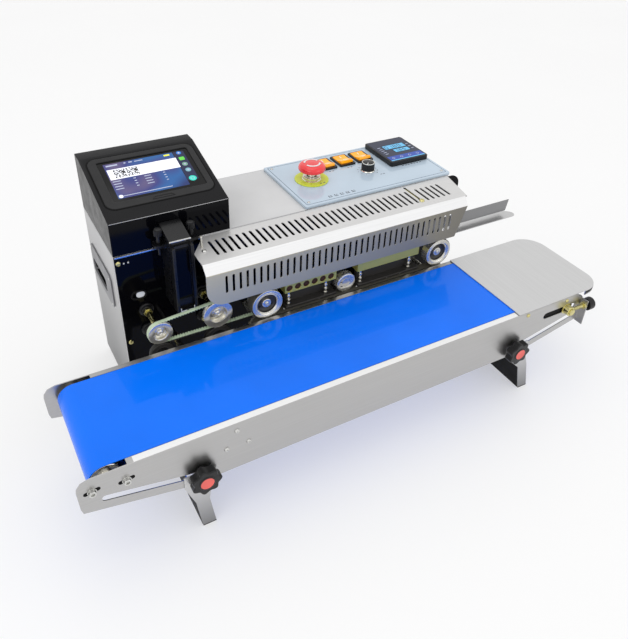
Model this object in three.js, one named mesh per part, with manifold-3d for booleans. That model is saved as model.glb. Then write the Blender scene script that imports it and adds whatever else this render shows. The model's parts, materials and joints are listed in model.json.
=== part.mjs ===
// Continuous band sealer with an ink-jet date printer and a belt conveyor.
//
// Machine coordinates, in millimetres: x runs along the conveyor from its left end, y from the
// conveyor's front face towards the casing, z up from the floor. Bags travel from right to left.
// The group at the end moves this corner origin to the bottom centre of the whole machine.

import * as THREE from "three";
import { mergeVertices } from "three/addons/utils/BufferGeometryUtils.js";
import Module from "manifold-3d";

const wasm = await Module();
wasm.setup();

// ---------------------------------------------------------------- driving dimensions

const GAP = 0.3;
const SHEET = 1.5;

const LENGTH = 858;
const FRONT_REACH = 17.5;
const BACK_Y = 397;

// Conveyor
const RAIL_LENGTH = 784;
const RAIL_TOP = 161.8;
const RAIL_BOTTOM = 84;
const RAIL_TAPER = 121;
const TAPER_RISE = 26;
const REAR_RAIL_Y = 164;
const FLANGE_WIDTH = 10.2;
const BELT_FRONT = 10.8;
const BELT_BACK = 156;
const BELT_TOP = 162;
const BELT_THICKNESS = 1.4;
const ROLLER_R = 20;
const ROLLER_Z = BELT_TOP - BELT_THICKNESS - GAP - ROLLER_R;
const DISCHARGE_X = 36;
const INFEED_X = 751;
const DRIVE_ROLLER = { x: 191, z: 132 };
const TENSION_SLOT = { from: 708, to: 764, half: 5.5 };
const TABLE = { left: 647, right: 824, z: 162.3, corner: 32, skirt: 8 };

// Legs
const SLOT_SLOPE = TAPER_RISE / RAIL_TAPER;
const SLOT_LENGTH = 114;
const SLOT_HALF = 4.4;
const BOLT_R = 3.9;
const CLAMP = { left: 143.5, right: 651, z: 97.5 };
const KNOB = { lobes: 7, middle: 18, wave: 2, front: 15, back: 5, cap: 9 };

// Casing
const CASE = { left: 127, right: 690, front: 247.3, bottom: 10, top: 272 };
const PLATE = { front: 245, back: 247, right: 713, top: 270, earBottom: 218 };
const GRIP = { from: 308, to: 378, low: 174, high: 197, wall: 2.6 };
const FOOT = { r: 13, height: 9.7, inset: 26 };
const HOOD = { right: 294, front: 245.6, frontTop: 322, ridgeY: 376, top: 357 };
const HOOD_SLOPE = (HOOD.top - HOOD.frontTop) / (HOOD.ridgeY - HOOD.front);
const SCREEN = { left: 134, right: 287, near: 268, far: 370, corner: 14, depth: 4 };
const PANEL = { left: 418, right: 693, front: 247.2, back: 393, thickness: 4.4 };

// Sealing head
const SEAL_Z = 158.7;
const BAND_CLEARANCE = 0.2;
const WHEEL_FRONT = 167.2;
const WHEEL_WIDTH = 15;
const WHEEL_R = 23.7;
const BAND_THICKNESS = 0.6;
const BAND = { from: 169, to: 181.5 };
const DRIVE_X = 315;
const DRIVEN_X = 622;
const UPPER_WHEEL_Z = SEAL_Z + BAND_CLEARANCE + BAND_THICKNESS + GAP + WHEEL_R;
const SHAFT_R = 5;
const SHAFT_END = 264;
const PRESS = { x: 450, r: 16, from: 172, to: 184 };
const GEAR = { teeth: 28, from: 251, to: 260, backlash: 0.5 };

// Guide belts that carry the bag past the printer
const GUIDE = { from: 183.4, to: 188.8, thickness: 2 };
const GUIDE_PULLEYS = { left: { x: 161.5, r: 15.2 }, middle: { x: 245, r: 18.8 } };
const GUIDE_COAX_R = WHEEL_R + BAND_THICKNESS - GUIDE.thickness;

// Guard over the sealing head
const GUARD = {
  left: 224.5,
  right: 687,
  back: 244.6,
  top: 272.6,
  bevelY: 176,
  bevelZ: 261,
  front: 164.8,
  bottom: 209,
  sheet: 1.2,
  corner: 26,
};
const TOP_SLOTS = { count: 39, from: 254, to: 648, near: 190.5, far: 229, width: 4.2 };
const FRONT_SLOTS = { count: 38, from: 253, to: 632, low: 226, high: 254.3, width: 3.8 };

// ---------------------------------------------------------------- solids

function toSolid(geometry) {
  const bare = geometry.index ? geometry.toNonIndexed() : geometry.clone();
  bare.deleteAttribute("normal");
  bare.deleteAttribute("uv");
  const merged = mergeVertices(bare, 1e-4);
  return new wasm.Manifold(
    new wasm.Mesh({
      numProp: 3,
      vertProperties: new Float32Array(merged.attributes.position.array),
      triVerts: new Uint32Array(merged.index.array),
    }),
  );
}

function toGeometry(solid) {
  const mesh = solid.getMesh();
  const geometry = new THREE.BufferGeometry();
  geometry.setAttribute("position", new THREE.BufferAttribute(mesh.vertProperties, 3));
  geometry.setIndex(new THREE.BufferAttribute(mesh.triVerts, 1));
  geometry.computeVertexNormals();
  return geometry;
}

function join(...geometries) {
  const [first, ...rest] = geometries.map(toSolid);
  return toGeometry(rest.reduce((sum, solid) => sum.add(solid), first));
}

function cut(body, ...tools) {
  const start = toSolid(body);
  return toGeometry(tools.map(toSolid).reduce((left, tool) => left.subtract(tool), start));
}

// ---------------------------------------------------------------- outlines

function polygon(points) {
  return new THREE.Shape(points.map(([u, v]) => new THREE.Vector2(u, v)));
}

function roundedRect(u0, v0, u1, v1, r) {
  const shape = new THREE.Shape();
  shape.absarc(u1 - r, v0 + r, r, -Math.PI / 2, 0);
  shape.absarc(u1 - r, v1 - r, r, 0, Math.PI / 2);
  shape.absarc(u0 + r, v1 - r, r, Math.PI / 2, Math.PI);
  shape.absarc(u0 + r, v0 + r, r, Math.PI, (3 * Math.PI) / 2);
  return shape;
}

// A slot with round ends between two points.
function slotOutline(u0, v0, u1, v1, half) {
  const along = Math.atan2(v1 - v0, u1 - u0);
  const shape = new THREE.Shape();
  shape.absarc(u1, v1, half, along - Math.PI / 2, along + Math.PI / 2);
  shape.absarc(u0, v0, half, along + Math.PI / 2, along + (3 * Math.PI) / 2);
  return shape;
}

// The closed line that a belt takes round its wheels, listed anticlockwise, at a distance from them.
function loopOutline(wheels, distance) {
  const angles = wheels.map((wheel, i) => {
    const next = wheels[(i + 1) % wheels.length];
    const du = next.x - wheel.x;
    const dv = next.z - wheel.z;
    return Math.atan2(dv, du) - Math.acos((wheel.r - next.r) / Math.hypot(du, dv));
  });
  const shape = new THREE.Shape();
  wheels.forEach((wheel, i) => {
    const start = angles[(i + wheels.length - 1) % wheels.length];
    let end = angles[i];
    while (end < start) end += 2 * Math.PI;
    shape.absarc(wheel.x, wheel.z, wheel.r + distance, start, end);
  });
  return shape;
}

// ---------------------------------------------------------------- plates, bars and turned pieces

const ALONG_Z = new THREE.Matrix4();
const ALONG_Y = new THREE.Matrix4().makeBasis(
  new THREE.Vector3(1, 0, 0),
  new THREE.Vector3(0, 0, 1),
  new THREE.Vector3(0, -1, 0),
);
const ALONG_X = new THREE.Matrix4().makeBasis(
  new THREE.Vector3(0, 1, 0),
  new THREE.Vector3(0, 0, 1),
  new THREE.Vector3(1, 0, 0),
);

function extrude(outline, depth, turn, curveSegments) {
  const settings = { depth, bevelEnabled: false, curveSegments };
  return new THREE.ExtrudeGeometry(outline, settings).applyMatrix4(turn);
}

// An outline in x and y, from height z0 to z1.
function flat(outline, z0, z1, curveSegments = 8) {
  return extrude(outline, z1 - z0, ALONG_Z, curveSegments).translate(0, 0, z0);
}

// An outline in x and z, from y0 to y1.
function upright(outline, y0, y1, curveSegments = 8) {
  return extrude(outline, y1 - y0, ALONG_Y, curveSegments).translate(0, y1, 0);
}

// An outline in y and z, from x0 to x1.
function lengthwise(outline, x0, x1, curveSegments = 8) {
  return extrude(outline, x1 - x0, ALONG_X, curveSegments).translate(x0, 0, 0);
}

function block(x0, y0, z0, x1, y1, z1) {
  const box = new THREE.BoxGeometry(x1 - x0, y1 - y0, z1 - z0);
  return box.translate((x0 + x1) / 2, (y0 + y1) / 2, (z0 + z1) / 2);
}

// A round bar along y.
function bar(x, z, r, y0, y1, segments = 16) {
  const cylinder = new THREE.CylinderGeometry(r, r, y1 - y0, segments);
  return cylinder.translate(x, (y0 + y1) / 2, z);
}

// A round post along z.
function post(x, y, r, z0, z1, segments = 16) {
  const cylinder = new THREE.CylinderGeometry(r, r, z1 - z0, segments);
  return cylinder.rotateX(Math.PI / 2).translate(x, y, (z0 + z1) / 2);
}

// A piece turned about an axis along y, from its radius and y along the profile.
function turned(x, z, profile, segments = 32) {
  const points = profile.map(([r, y]) => new THREE.Vector2(r, y));
  return new THREE.LatheGeometry(points, segments).translate(x, 0, z);
}

// A piece turned about an axis along z, from its radius and z along the profile.
function turnedUp(x, y, profile, segments = 32) {
  const points = profile.map(([r, z]) => new THREE.Vector2(r, z));
  return new THREE.LatheGeometry(points, segments).rotateX(Math.PI / 2).translate(x, y, 0);
}

// ---------------------------------------------------------------- materials

function material(color, roughness, metalness) {
  return new THREE.MeshStandardMaterial({ color, roughness, metalness });
}

const STEEL = () => material(0xc4c5c7, 0.35, 0.9);
const BRIGHT = () => material(0xd8d9da, 0.2, 1.0);
const PAINT = () => material(0xcfcfcf, 0.5, 0.1);
const BLACK_METAL = () => material(0x0b0b0d, 0.4, 0.3);
const BLACK_PLASTIC = () => material(0x111114, 0.45, 0.0);
const BRASS = () => material(0x9a8d4c, 0.35, 0.9);
const RUBBER = () => material(0x151515, 0.85, 0.0);
const BELT_BLUE = () => material(0x1763f2, 0.3, 0.0);
const BAND_CLOTH = () => material(0xd9dcc8, 0.6, 0.0);

const machine = new THREE.Group();
machine.position.set(-LENGTH / 2, -(BACK_Y - FRONT_REACH) / 2, 0);

function add(name, geometry, surface) {
  const mesh = new THREE.Mesh(geometry, surface);
  mesh.name = name;
  machine.add(mesh);
}

// ---------------------------------------------------------------- conveyor

const mirrorX = (x) => RAIL_LENGTH - x;

// One side plate with tapered ends, slots for the legs and holes for the rollers.
function railPlate(y0) {
  const low = RAIL_TOP - 51.8;
  const outline = polygon([
    [3, low],
    [RAIL_TAPER + 3, RAIL_BOTTOM],
    [mirrorX(RAIL_TAPER), RAIL_BOTTOM],
    [RAIL_LENGTH, low],
    [RAIL_LENGTH, 152],
    [mirrorX(5), 157],
    [mirrorX(14), RAIL_TOP],
    [16, RAIL_TOP],
    [6, 158.5],
    [1, 152],
    [0, 146],
    [1, 118],
  ]);
  const slotTop = CLAMP.z + SLOT_LENGTH * SLOT_SLOPE;
  const clampSlots = [
    slotOutline(CLAMP.left, CLAMP.z, CLAMP.left - SLOT_LENGTH, slotTop, SLOT_HALF),
    slotOutline(CLAMP.right, CLAMP.z, CLAMP.right + SLOT_LENGTH, slotTop, SLOT_HALF),
  ];
  const tension = slotOutline(
    TENSION_SLOT.from,
    ROLLER_Z,
    TENSION_SLOT.to,
    ROLLER_Z,
    TENSION_SLOT.half,
  );
  const y1 = y0 + SHEET;
  const openings = [...clampSlots, tension].map((slot) => upright(slot, y0 - 1, y1 + 1, 3));
  return cut(upright(outline, y0, y1), ...openings);
}

function conveyorRails() {
  const flangeFrom = 58.4;
  const flangeTo = 735;
  const underTop = RAIL_TOP - SHEET;
  const lip = { from: RAIL_LENGTH - SHEET, reach: 13, low: 106, high: 151 };
  const lipHole = new THREE.CylinderGeometry(3.6, 3.6, 6, 12).rotateZ(Math.PI / 2);
  lipHole.translate(RAIL_LENGTH, -7, ROLLER_Z);
  const front = join(
    railPlate(0),
    block(flangeFrom, 0, underTop, flangeTo, FLANGE_WIDTH, RAIL_TOP),
    block(lip.from, -lip.reach, lip.low, RAIL_LENGTH, SHEET, lip.high),
  );
  add("conveyor_front_rail", cut(front, lipHole), STEEL());

  const rearInner = REAR_RAIL_Y - SHEET;
  const bearing = bar(DRIVE_ROLLER.x, DRIVE_ROLLER.z, 5.6, rearInner - 1, REAR_RAIL_Y + 1, 12);
  const rear = join(
    railPlate(rearInner),
    block(flangeFrom, REAR_RAIL_Y - 7.2, underTop, flangeTo, REAR_RAIL_Y, RAIL_TOP),
    block(lip.from, rearInner, lip.low, RAIL_LENGTH, REAR_RAIL_Y + lip.reach, lip.high),
  );
  add("conveyor_rear_rail", cut(rear, bearing), STEEL());
}

// The slider plate that the belt runs on, folded down along both edges.
function conveyorBed() {
  const top = BELT_TOP - BELT_THICKNESS - GAP;
  const from = 62;
  const to = 731;
  const front = SHEET + GAP;
  const back = REAR_RAIL_Y - SHEET - GAP;
  const fold = top - 9;
  const under = RAIL_TOP - SHEET - GAP;
  const outline = polygon([
    [front, fold],
    [front + SHEET, fold],
    [front + SHEET, under - 3],
    [BELT_FRONT, top - SHEET],
    [BELT_BACK, top - SHEET],
    [back - SHEET, under - 3],
    [back - SHEET, fold],
    [back, fold],
    [back, under - 1.5],
    [BELT_BACK, top],
    [BELT_FRONT, top],
    [front, under - 1.5],
  ]);
  add("conveyor_bed", lengthwise(outline, from, to), STEEL());
}

function conveyorBelt() {
  const wheels = [
    { x: DISCHARGE_X, z: ROLLER_Z, r: ROLLER_R },
    { x: DRIVE_ROLLER.x, z: DRIVE_ROLLER.z, r: ROLLER_R },
    { x: INFEED_X, z: ROLLER_Z, r: ROLLER_R },
  ];
  const outline = loopOutline(wheels, GAP + BELT_THICKNESS);
  outline.holes.push(loopOutline(wheels, GAP));
  add("conveyor_belt", upright(outline, BELT_FRONT, BELT_BACK, 7), BELT_BLUE());
}

// A roller with its journals; the driven one has a longer shaft into the casing.
function roller(name, x, z, journalR, journalFrom, journalTo) {
  const tube = 0.8;
  const from = BELT_FRONT + tube;
  const to = BELT_BACK - tube;
  const profile = [
    [0, journalFrom],
    [journalR, journalFrom],
    [journalR, from],
    [ROLLER_R - 1, from],
    [ROLLER_R, from + 1],
    [ROLLER_R, to - 1],
    [ROLLER_R - 1, to],
    [journalR, to],
    [journalR, journalTo],
    [0, journalTo],
  ];
  add(name, turned(x, z, profile, 18), BRIGHT());
}

function conveyorRollers() {
  const inside = SHEET + GAP;
  roller("discharge_roller", DISCHARGE_X, ROLLER_Z, 5, inside, REAR_RAIL_Y - inside);
  roller("infeed_roller", INFEED_X, ROLLER_Z, 5, -4, REAR_RAIL_Y + 4);
  roller("conveyor_drive_roller", DRIVE_ROLLER.x, DRIVE_ROLLER.z, SHAFT_R, inside, SHAFT_END);
}

// The table's outline at a distance inside its edge, from a given left end.
function tableOutline(left, inset) {
  const { right, corner } = TABLE;
  const rearCorner = corner + 6;
  const shape = new THREE.Shape();
  shape.moveTo(left, inset);
  shape.lineTo(right - corner, inset);
  shape.absarc(right - corner, corner, corner - inset, -Math.PI / 2, 0);
  shape.absarc(right - rearCorner, REAR_RAIL_Y - rearCorner, rearCorner - inset, 0, Math.PI / 2);
  shape.lineTo(left, REAR_RAIL_Y - inset);
  return shape;
}

// The plate after the belt's infeed end, with a skirt folded down beyond the rails.
function infeedTable() {
  const { left, z, skirt } = TABLE;
  const beyond = RAIL_LENGTH + 3;
  const plate = flat(tableOutline(left, 0), z, z + SHEET, 8);
  const rim = cut(
    flat(tableOutline(left, 0), z - skirt, z + 1, 8),
    flat(tableOutline(left, SHEET), z - skirt - 1, z + 2, 8),
    block(left - 1, -1, z - skirt - 1, beyond, REAR_RAIL_Y + 1, z + 2),
  );
  add("infeed_table", join(plate, rim), STEEL());
}

// A leg: a web across the conveyor and a foot strip in front of each rail, leaning to the right.
function leg(name, boltX, strip, lean) {
  const stripWidth = 18;
  const shoulder = CLAMP.z - 10;
  const webTop = RAIL_BOTTOM - 5;
  const at = (x, z) => boltX + x + ((CLAMP.z - z) / CLAMP.z) * lean;
  const outline = polygon([
    [at(strip, 0), 0],
    [at(strip + stripWidth, 0), 0],
    [at(strip + stripWidth, 50), 50],
    [boltX + Math.max(12, strip + stripWidth), shoulder - 4],
    [boltX + Math.max(12, strip + stripWidth), CLAMP.z + 6],
    [boltX + Math.min(-12, strip - 6), CLAMP.z + 6],
    [boltX + Math.min(-12, strip - 6), shoulder - 4],
    [at(strip, 50), 50],
  ]);
  const front = -GAP - SHEET;
  const back = REAR_RAIL_Y + GAP + SHEET;
  const web = polygon([
    [at(strip, 0), 0],
    [at(strip, 0) + SHEET, 0],
    [at(strip, webTop) + SHEET, webTop],
    [at(strip, webTop), webTop],
  ]);
  const holes = bar(boltX, CLAMP.z, BOLT_R + GAP, front - 2, back + 2, 16);
  const body = join(
    upright(outline, front, front + SHEET),
    upright(outline, back - SHEET, back),
    upright(web, front, back),
  );
  add(name, cut(body, holes), STEEL());
}

// A lobed clamping knob with its bolt.
function starKnob(name, x) {
  const steps = KNOB.lobes * 4;
  const shape = new THREE.Shape();
  for (let i = 0; i < steps; i += 1) {
    const angle = (i / steps) * 2 * Math.PI;
    const r = KNOB.middle + KNOB.wave * Math.cos(KNOB.lobes * angle);
    const u = x + r * Math.cos(angle);
    const v = CLAMP.z + r * Math.sin(angle);
    if (i === 0) shape.moveTo(u, v);
    else shape.lineTo(u, v);
  }
  const seat = -GAP - SHEET - GAP;
  const knob = join(
    upright(shape, -KNOB.front, -KNOB.back),
    turned(x, CLAMP.z, [
      [0, -FRONT_REACH],
      [KNOB.cap - 0.8, -FRONT_REACH],
      [KNOB.cap, -FRONT_REACH + 1],
      [KNOB.cap + 0.6, -KNOB.back - 1],
      [8, seat],
      [BOLT_R, seat],
      [BOLT_R, 8],
      [0, 8],
    ], 14),
  );
  add(name, knob, BLACK_PLASTIC());
}

// The screw that pulls the infeed roller's shaft block towards the rail's lip.
function tensionScrew() {
  const y = -7;
  const z = ROLLER_Z;
  const along = (profile, segments) => {
    const points = profile.map(([r, x]) => new THREE.Vector2(r, x));
    return new THREE.LatheGeometry(points, segments).rotateZ(-Math.PI / 2).translate(0, y, z);
  };
  const knobFrom = RAIL_LENGTH + 3;
  const screw = along([
    [0, INFEED_X + 9],
    [3, INFEED_X + 9],
    [3, knobFrom],
    [9.5, knobFrom],
    [10.5, knobFrom + 1],
    [10.5, knobFrom + 10],
    [9.5, knobFrom + 11],
    [0, knobFrom + 11],
  ], 16);
  add("tension_screw", screw, BLACK_PLASTIC());
}

// ---------------------------------------------------------------- casing

const SHAFT_HOLES = [
  [DRIVE_X, UPPER_WHEEL_Z],
  [DRIVE_X, 2 * SEAL_Z - UPPER_WHEEL_Z],
  [DRIVEN_X, UPPER_WHEEL_Z],
  [DRIVEN_X, 2 * SEAL_Z - UPPER_WHEEL_Z],
];

function guideCentre(pulley, side) {
  const lift = BAND_CLEARANCE + GUIDE.thickness + GAP + pulley.r;
  return { x: pulley.x, z: SEAL_Z + side * lift, r: pulley.r };
}

function pressCentre(side) {
  const z = SEAL_Z + side * (BAND_CLEARANCE + BAND_THICKNESS + GAP + PRESS.r);
  return { x: PRESS.x, z, r: PRESS.r };
}

function casingShell() {
  const { left, right, front, bottom, top } = CASE;
  const outer = polygon([
    [left, bottom + SHEET + GAP],
    [left + SHEET, bottom + SHEET + GAP],
    [left + SHEET, top - SHEET],
    [right - SHEET, top - SHEET],
    [right - SHEET, bottom + SHEET + GAP],
    [right, bottom + SHEET + GAP],
    [right, top],
    [left, top],
  ]);
  const shell = upright(outer, front, BACK_Y - SHEET - GAP);
  const { from, to, low, high, wall } = GRIP;
  const handle = roundedRect(from - wall - GAP, low - wall - GAP, to + wall + GAP, high + wall + GAP, 10);
  const openings = [
    lengthwise(handle, left - 1, left + SHEET + 1, 3),
    lengthwise(handle, right - SHEET - 1, right + 1, 3),
  ];
  add("casing_shell", cut(shell, ...openings), PAINT());
}

// The grip recess in each end of the casing: a rim outside and a cup with a finger slot inside.
function handleCup(name, wall, inward) {
  const { from, to, low, high } = GRIP;
  const rim = roundedRect(277, 165, 384, 221, 10);
  const cup = roundedRect(from - GRIP.wall, low - GRIP.wall, to + GRIP.wall, high + GRIP.wall, 9.6);
  const hollow = roundedRect(from, low, to, high, 7);
  const between = (a, b) => {
    const ends = [wall + inward * a, wall + inward * b];
    return [Math.min(...ends), Math.max(...ends)];
  };
  const body = join(
    lengthwise(rim, ...between(-2, -GAP), 3),
    lengthwise(cup, ...between(-1, 26), 3),
  );
  const inside = lengthwise(hollow, ...between(-5, 23), 3);
  add(name, cut(body, inside), material(0x9c9c9e, 0.5, 0.1));
}

function basePlate() {
  const { left, right, front, bottom } = CASE;
  const plate = block(left, front, bottom, right, BACK_Y - SHEET - GAP, bottom + SHEET);
  add("base_plate", plate, STEEL());
}

function rubberFeet() {
  const { left, right } = CASE;
  const ys = [CASE.front + FOOT.inset - 6, BACK_Y - FOOT.inset];
  const xs = [left + FOOT.inset + 60, right - FOOT.inset];
  let number = 1;
  for (const y of ys) {
    for (const x of xs) {
      const profile = [
        [0, 0],
        [FOOT.r - 1, 0],
        [FOOT.r, 1.5],
        [FOOT.r - 1.5, FOOT.height],
        [0, FOOT.height],
      ];
      add(`rubber_foot_${number}`, turnedUp(x, y, profile, 16), RUBBER());
      number += 1;
    }
  }
}

function rearCover() {
  const { left, right, bottom, top } = CASE;
  const cover = block(left, BACK_Y - SHEET, bottom, right, BACK_Y, top);
  const openings = [];
  for (let row = 0; row < 2; row += 1) {
    for (let i = 0; i < 8; i += 1) {
      const x = 430 + i * 16;
      const z = 70 + row * 42;
      openings.push(block(x, BACK_Y - 3, z, x + 6, BACK_Y + 1, z + 32));
    }
  }
  openings.push(block(176, BACK_Y - 3, 40, 204, BACK_Y + 1, 60));
  add("rear_cover", cut(cover, ...openings), PAINT());
}

function frontPlate() {
  const { front, back, right, top, earBottom } = PLATE;
  const shape = new THREE.Shape();
  const r = 17;
  shape.moveTo(CASE.left + 0.5, CASE.bottom + 2);
  shape.lineTo(CASE.right, CASE.bottom + 2);
  shape.lineTo(CASE.right, earBottom);
  shape.lineTo(right, earBottom);
  shape.absarc(right - r, top - r, r, 0, Math.PI / 2);
  shape.lineTo(CASE.left + 0.5, top);
  const drill = (x, z, r) => bar(x, z, r, front - 1, back + 1, 10);
  const holes = SHAFT_HOLES.map(([x, z]) => drill(x, z, SHAFT_R + 0.8));
  for (const side of [1, -1]) {
    for (const pulley of Object.values(GUIDE_PULLEYS)) {
      const centre = guideCentre(pulley, side);
      holes.push(drill(centre.x, centre.z, SHAFT_R));
    }
    holes.push(drill(PRESS.x, pressCentre(side).z, SHAFT_R));
  }
  holes.push(drill(DRIVE_ROLLER.x, DRIVE_ROLLER.z, SHAFT_R + 0.8));
  holes.push(upright(slotOutline(150, 203, 158, 203, 4.5), front - 1, back + 1, 3));
  add("front_plate", cut(upright(shape, front, back), ...holes), BLACK_METAL());
}

// A box laid in the hood's slope, from a depth below its surface to a height above it.
function onSlope(outline, down, up, curveSegments = 3) {
  const tilt = Math.atan(HOOD_SLOPE);
  const piece = extrude(outline, up - down, ALONG_Z, curveSegments);
  piece.translate(0, 0, down).rotateX(tilt);
  return piece.translate(0, HOOD.front, HOOD.frontTop);
}

const alongSlope = (y) => (y - HOOD.front) * Math.hypot(1, HOOD_SLOPE);

function printerHood() {
  const wall = 2.5;
  const base = CASE.top + GAP;
  const back = BACK_Y - 0.4;
  const side = polygon([
    [HOOD.front, base],
    [back, base],
    [back, HOOD.top],
    [HOOD.ridgeY, HOOD.top],
    [HOOD.front, HOOD.frontTop],
  ]);
  const inner = polygon([
    [HOOD.front + wall, base - 1],
    [back - wall, base - 1],
    [back - wall, HOOD.top - wall],
    [HOOD.ridgeY, HOOD.top - wall - 4],
    [HOOD.front + wall, HOOD.frontTop - wall - 4],
  ]);
  const { left, right, near, far, corner, depth } = SCREEN;
  const recess = roundedRect(left, alongSlope(near), right, alongSlope(far), corner);
  const window = roundedRect(
    left + 12,
    alongSlope(near) + 12,
    right - 12,
    alongSlope(far) - 12,
    corner - 8,
  );
  const hood = cut(
    lengthwise(side, CASE.left, HOOD.right),
    lengthwise(inner, CASE.left + wall, HOOD.right - wall),
    onSlope(recess, -depth, 5),
    onSlope(window, -12, 1),
  );
  add("printer_hood", hood, BLACK_PLASTIC());
  const glass = roundedRect(
    left + GAP,
    alongSlope(near) + GAP,
    right - GAP,
    alongSlope(far) - GAP,
    corner - GAP,
  );
  add("touch_screen", onSlope(glass, -depth + GAP, -0.8), material(0x1c2a6a, 0.1, 0.0));
}

// ---------------------------------------------------------------- control panel

const PANEL_TOP = CASE.top + GAP + PANEL.thickness;
const ESTOP = { x: 470, y: 323 };
const ROCKERS = { xs: [515, 550.5, 586], y: 359, width: 24, length: 32, pivot: 1.5, tilt: 8 };
const SPEED = { x: 570.5, y: 312 };
const CONTROLLER = { left: 612.5, right: 689, front: 304, back: 388, height: 9 };

function controlPanel() {
  const { left, right, front, back } = PANEL;
  const base = CASE.top + GAP;
  const plate = flat(roundedRect(left, front, right, back, 3), base, PANEL_TOP, 3);
  const rims = ROCKERS.xs.map((x) => {
    const halfX = ROCKERS.width / 2 + 3;
    const halfY = ROCKERS.length / 2 + 3;
    return block(
      x - halfX,
      ROCKERS.y - halfY,
      PANEL_TOP - 1,
      x + halfX,
      ROCKERS.y + halfY,
      PANEL_TOP + 3,
    );
  });
  const wells = ROCKERS.xs.map((x) => block(
    x - ROCKERS.width / 2,
    ROCKERS.y - ROCKERS.length / 2,
    base + 1.2,
    x + ROCKERS.width / 2,
    ROCKERS.y + ROCKERS.length / 2,
    PANEL_TOP + 9,
  ));
  wells.push(post(SPEED.x, SPEED.y, 3.4, base - 1, PANEL_TOP + 2));
  wells.push(post(ESTOP.x, ESTOP.y, 8, base - 1, PANEL_TOP + 2));
  add("control_panel", cut(join(plate, ...rims), ...wells), material(0xcfdbe8, 0.3, 0.2));
}

// Rocker paddles: a shallow roof shape that tips about its middle, at rest in its off position.
function rockers() {
  const tilt = THREE.MathUtils.degToRad(ROCKERS.tilt);
  const pivotZ = PANEL_TOP + ROCKERS.pivot;
  ROCKERS.xs.forEach((x, i) => {
    const half = ROCKERS.length / 2 - 0.8;
    const floor = CASE.top + GAP + 4.6;
    const side = polygon([
      [ROCKERS.y - 6, floor],
      [ROCKERS.y + 6, floor],
      [ROCKERS.y + half, PANEL_TOP + 1.6],
      [ROCKERS.y + half - 0.8, PANEL_TOP + 6.4],
      [ROCKERS.y, PANEL_TOP + 4],
      [ROCKERS.y - half + 0.8, PANEL_TOP + 6.4],
      [ROCKERS.y - half, PANEL_TOP + 1.6],
    ]);
    const paddle = lengthwise(side, x - ROCKERS.width / 2 + 0.6, x + ROCKERS.width / 2 - 0.6);
    paddle.translate(0, -ROCKERS.y, -pivotZ).rotateX(-tilt).translate(0, ROCKERS.y, pivotZ);
    add(`rocker_${i + 1}`, paddle, material(0xf09a1c, 0.35, 0.0));
  });
}

function emergencyStop() {
  const { x, y } = ESTOP;
  const base = PANEL_TOP + GAP;
  const collar = turnedUp(x, y, [
    [7, base],
    [27.5, base],
    [27.5, base + 1.2],
    [15, base + 1.2],
    [14, base + 3],
    [14, base + 7],
    [7, base + 7],
    [7, base],
  ], 24);
  add("estop_collar", collar, material(0xe2e32a, 0.5, 0.0));
  const low = base + 17;
  const button = turnedUp(x, y, [
    [0, base + 2],
    [6.6, base + 2],
    [6.6, low - 4],
    [12, low - 4],
    [12, low],
    [20.5, low],
    [21.8, low + 2],
    [21.8, low + 5],
    [19.5, low + 9],
    [14, low + 11.5],
    [0, low + 12.5],
  ], 24);
  add("estop_button", button, material(0xe0262b, 0.3, 0.0));
}

function speedKnob() {
  const base = PANEL_TOP + GAP;
  const knob = turnedUp(SPEED.x, SPEED.y, [
    [0, CASE.top + GAP + 0.5],
    [3, CASE.top + GAP + 0.5],
    [3, base],
    [12, base],
    [12, base + 2],
    [11, base + 3],
    [10.4, base + 14],
    [9.4, base + 15],
    [0, base + 15],
  ], 18);
  add("speed_knob", knob, BLACK_PLASTIC());
}

function temperatureController() {
  const { left, right, front, back, height } = CONTROLLER;
  const base = PANEL_TOP + GAP;
  const body = flat(roundedRect(left, front, right, back, 4), base, base + height, 4);
  const face = block(left + 5, front + 20, base + height - 1, right - 5, back - 5, base + height + 1);
  add("temperature_controller", cut(body, face), BLACK_PLASTIC());
}

// ---------------------------------------------------------------- sealing head

function drivingWheel(name, x, side, withGuide) {
  const z = SEAL_Z + side * (UPPER_WHEEL_Z - SEAL_Z);
  const y = WHEEL_FRONT;
  const back = y + WHEEL_WIDTH;
  const rim = [
    [0, y + 3],
    [7, y + 3],
    [8, y + 4.5],
    [14, y + 4.5],
    [17, y + 1],
    [19.5, y],
    [WHEEL_R - 1, y],
    [WHEEL_R, y + 1],
    [WHEEL_R, back],
  ];
  const guide = [
    [GUIDE_COAX_R, GUIDE.from - 1],
    [GUIDE_COAX_R, GUIDE.to + 0.4],
  ];
  const hub = [
    [9, withGuide ? GUIDE.to + 0.4 : back],
    [9, withGuide ? GUIDE.to + 8 : back + 8],
    [SHAFT_R, withGuide ? GUIDE.to + 8 : back + 8],
    [SHAFT_R, SHAFT_END],
    [0, SHAFT_END],
  ];
  const profile = withGuide ? [...rim, ...guide, ...hub] : [...rim, ...hub];
  add(name, turned(x, z, profile, 24), BRIGHT());
}

function sealingWheels() {
  drivingWheel("upper_drive_wheel", DRIVE_X, 1, true);
  drivingWheel("lower_drive_wheel", DRIVE_X, -1, true);
  drivingWheel("upper_driven_wheel", DRIVEN_X, 1, false);
  drivingWheel("lower_driven_wheel", DRIVEN_X, -1, false);
}

function sealingBand(name, side) {
  const z = SEAL_Z + side * (UPPER_WHEEL_Z - SEAL_Z);
  const wheels = [
    { x: DRIVE_X, z, r: WHEEL_R },
    { x: DRIVEN_X, z, r: WHEEL_R },
  ];
  const outline = loopOutline(wheels, GAP + BAND_THICKNESS);
  outline.holes.push(loopOutline(wheels, GAP));
  add(name, upright(outline, BAND.from, BAND.to, 8), BAND_CLOTH());
}

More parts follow.
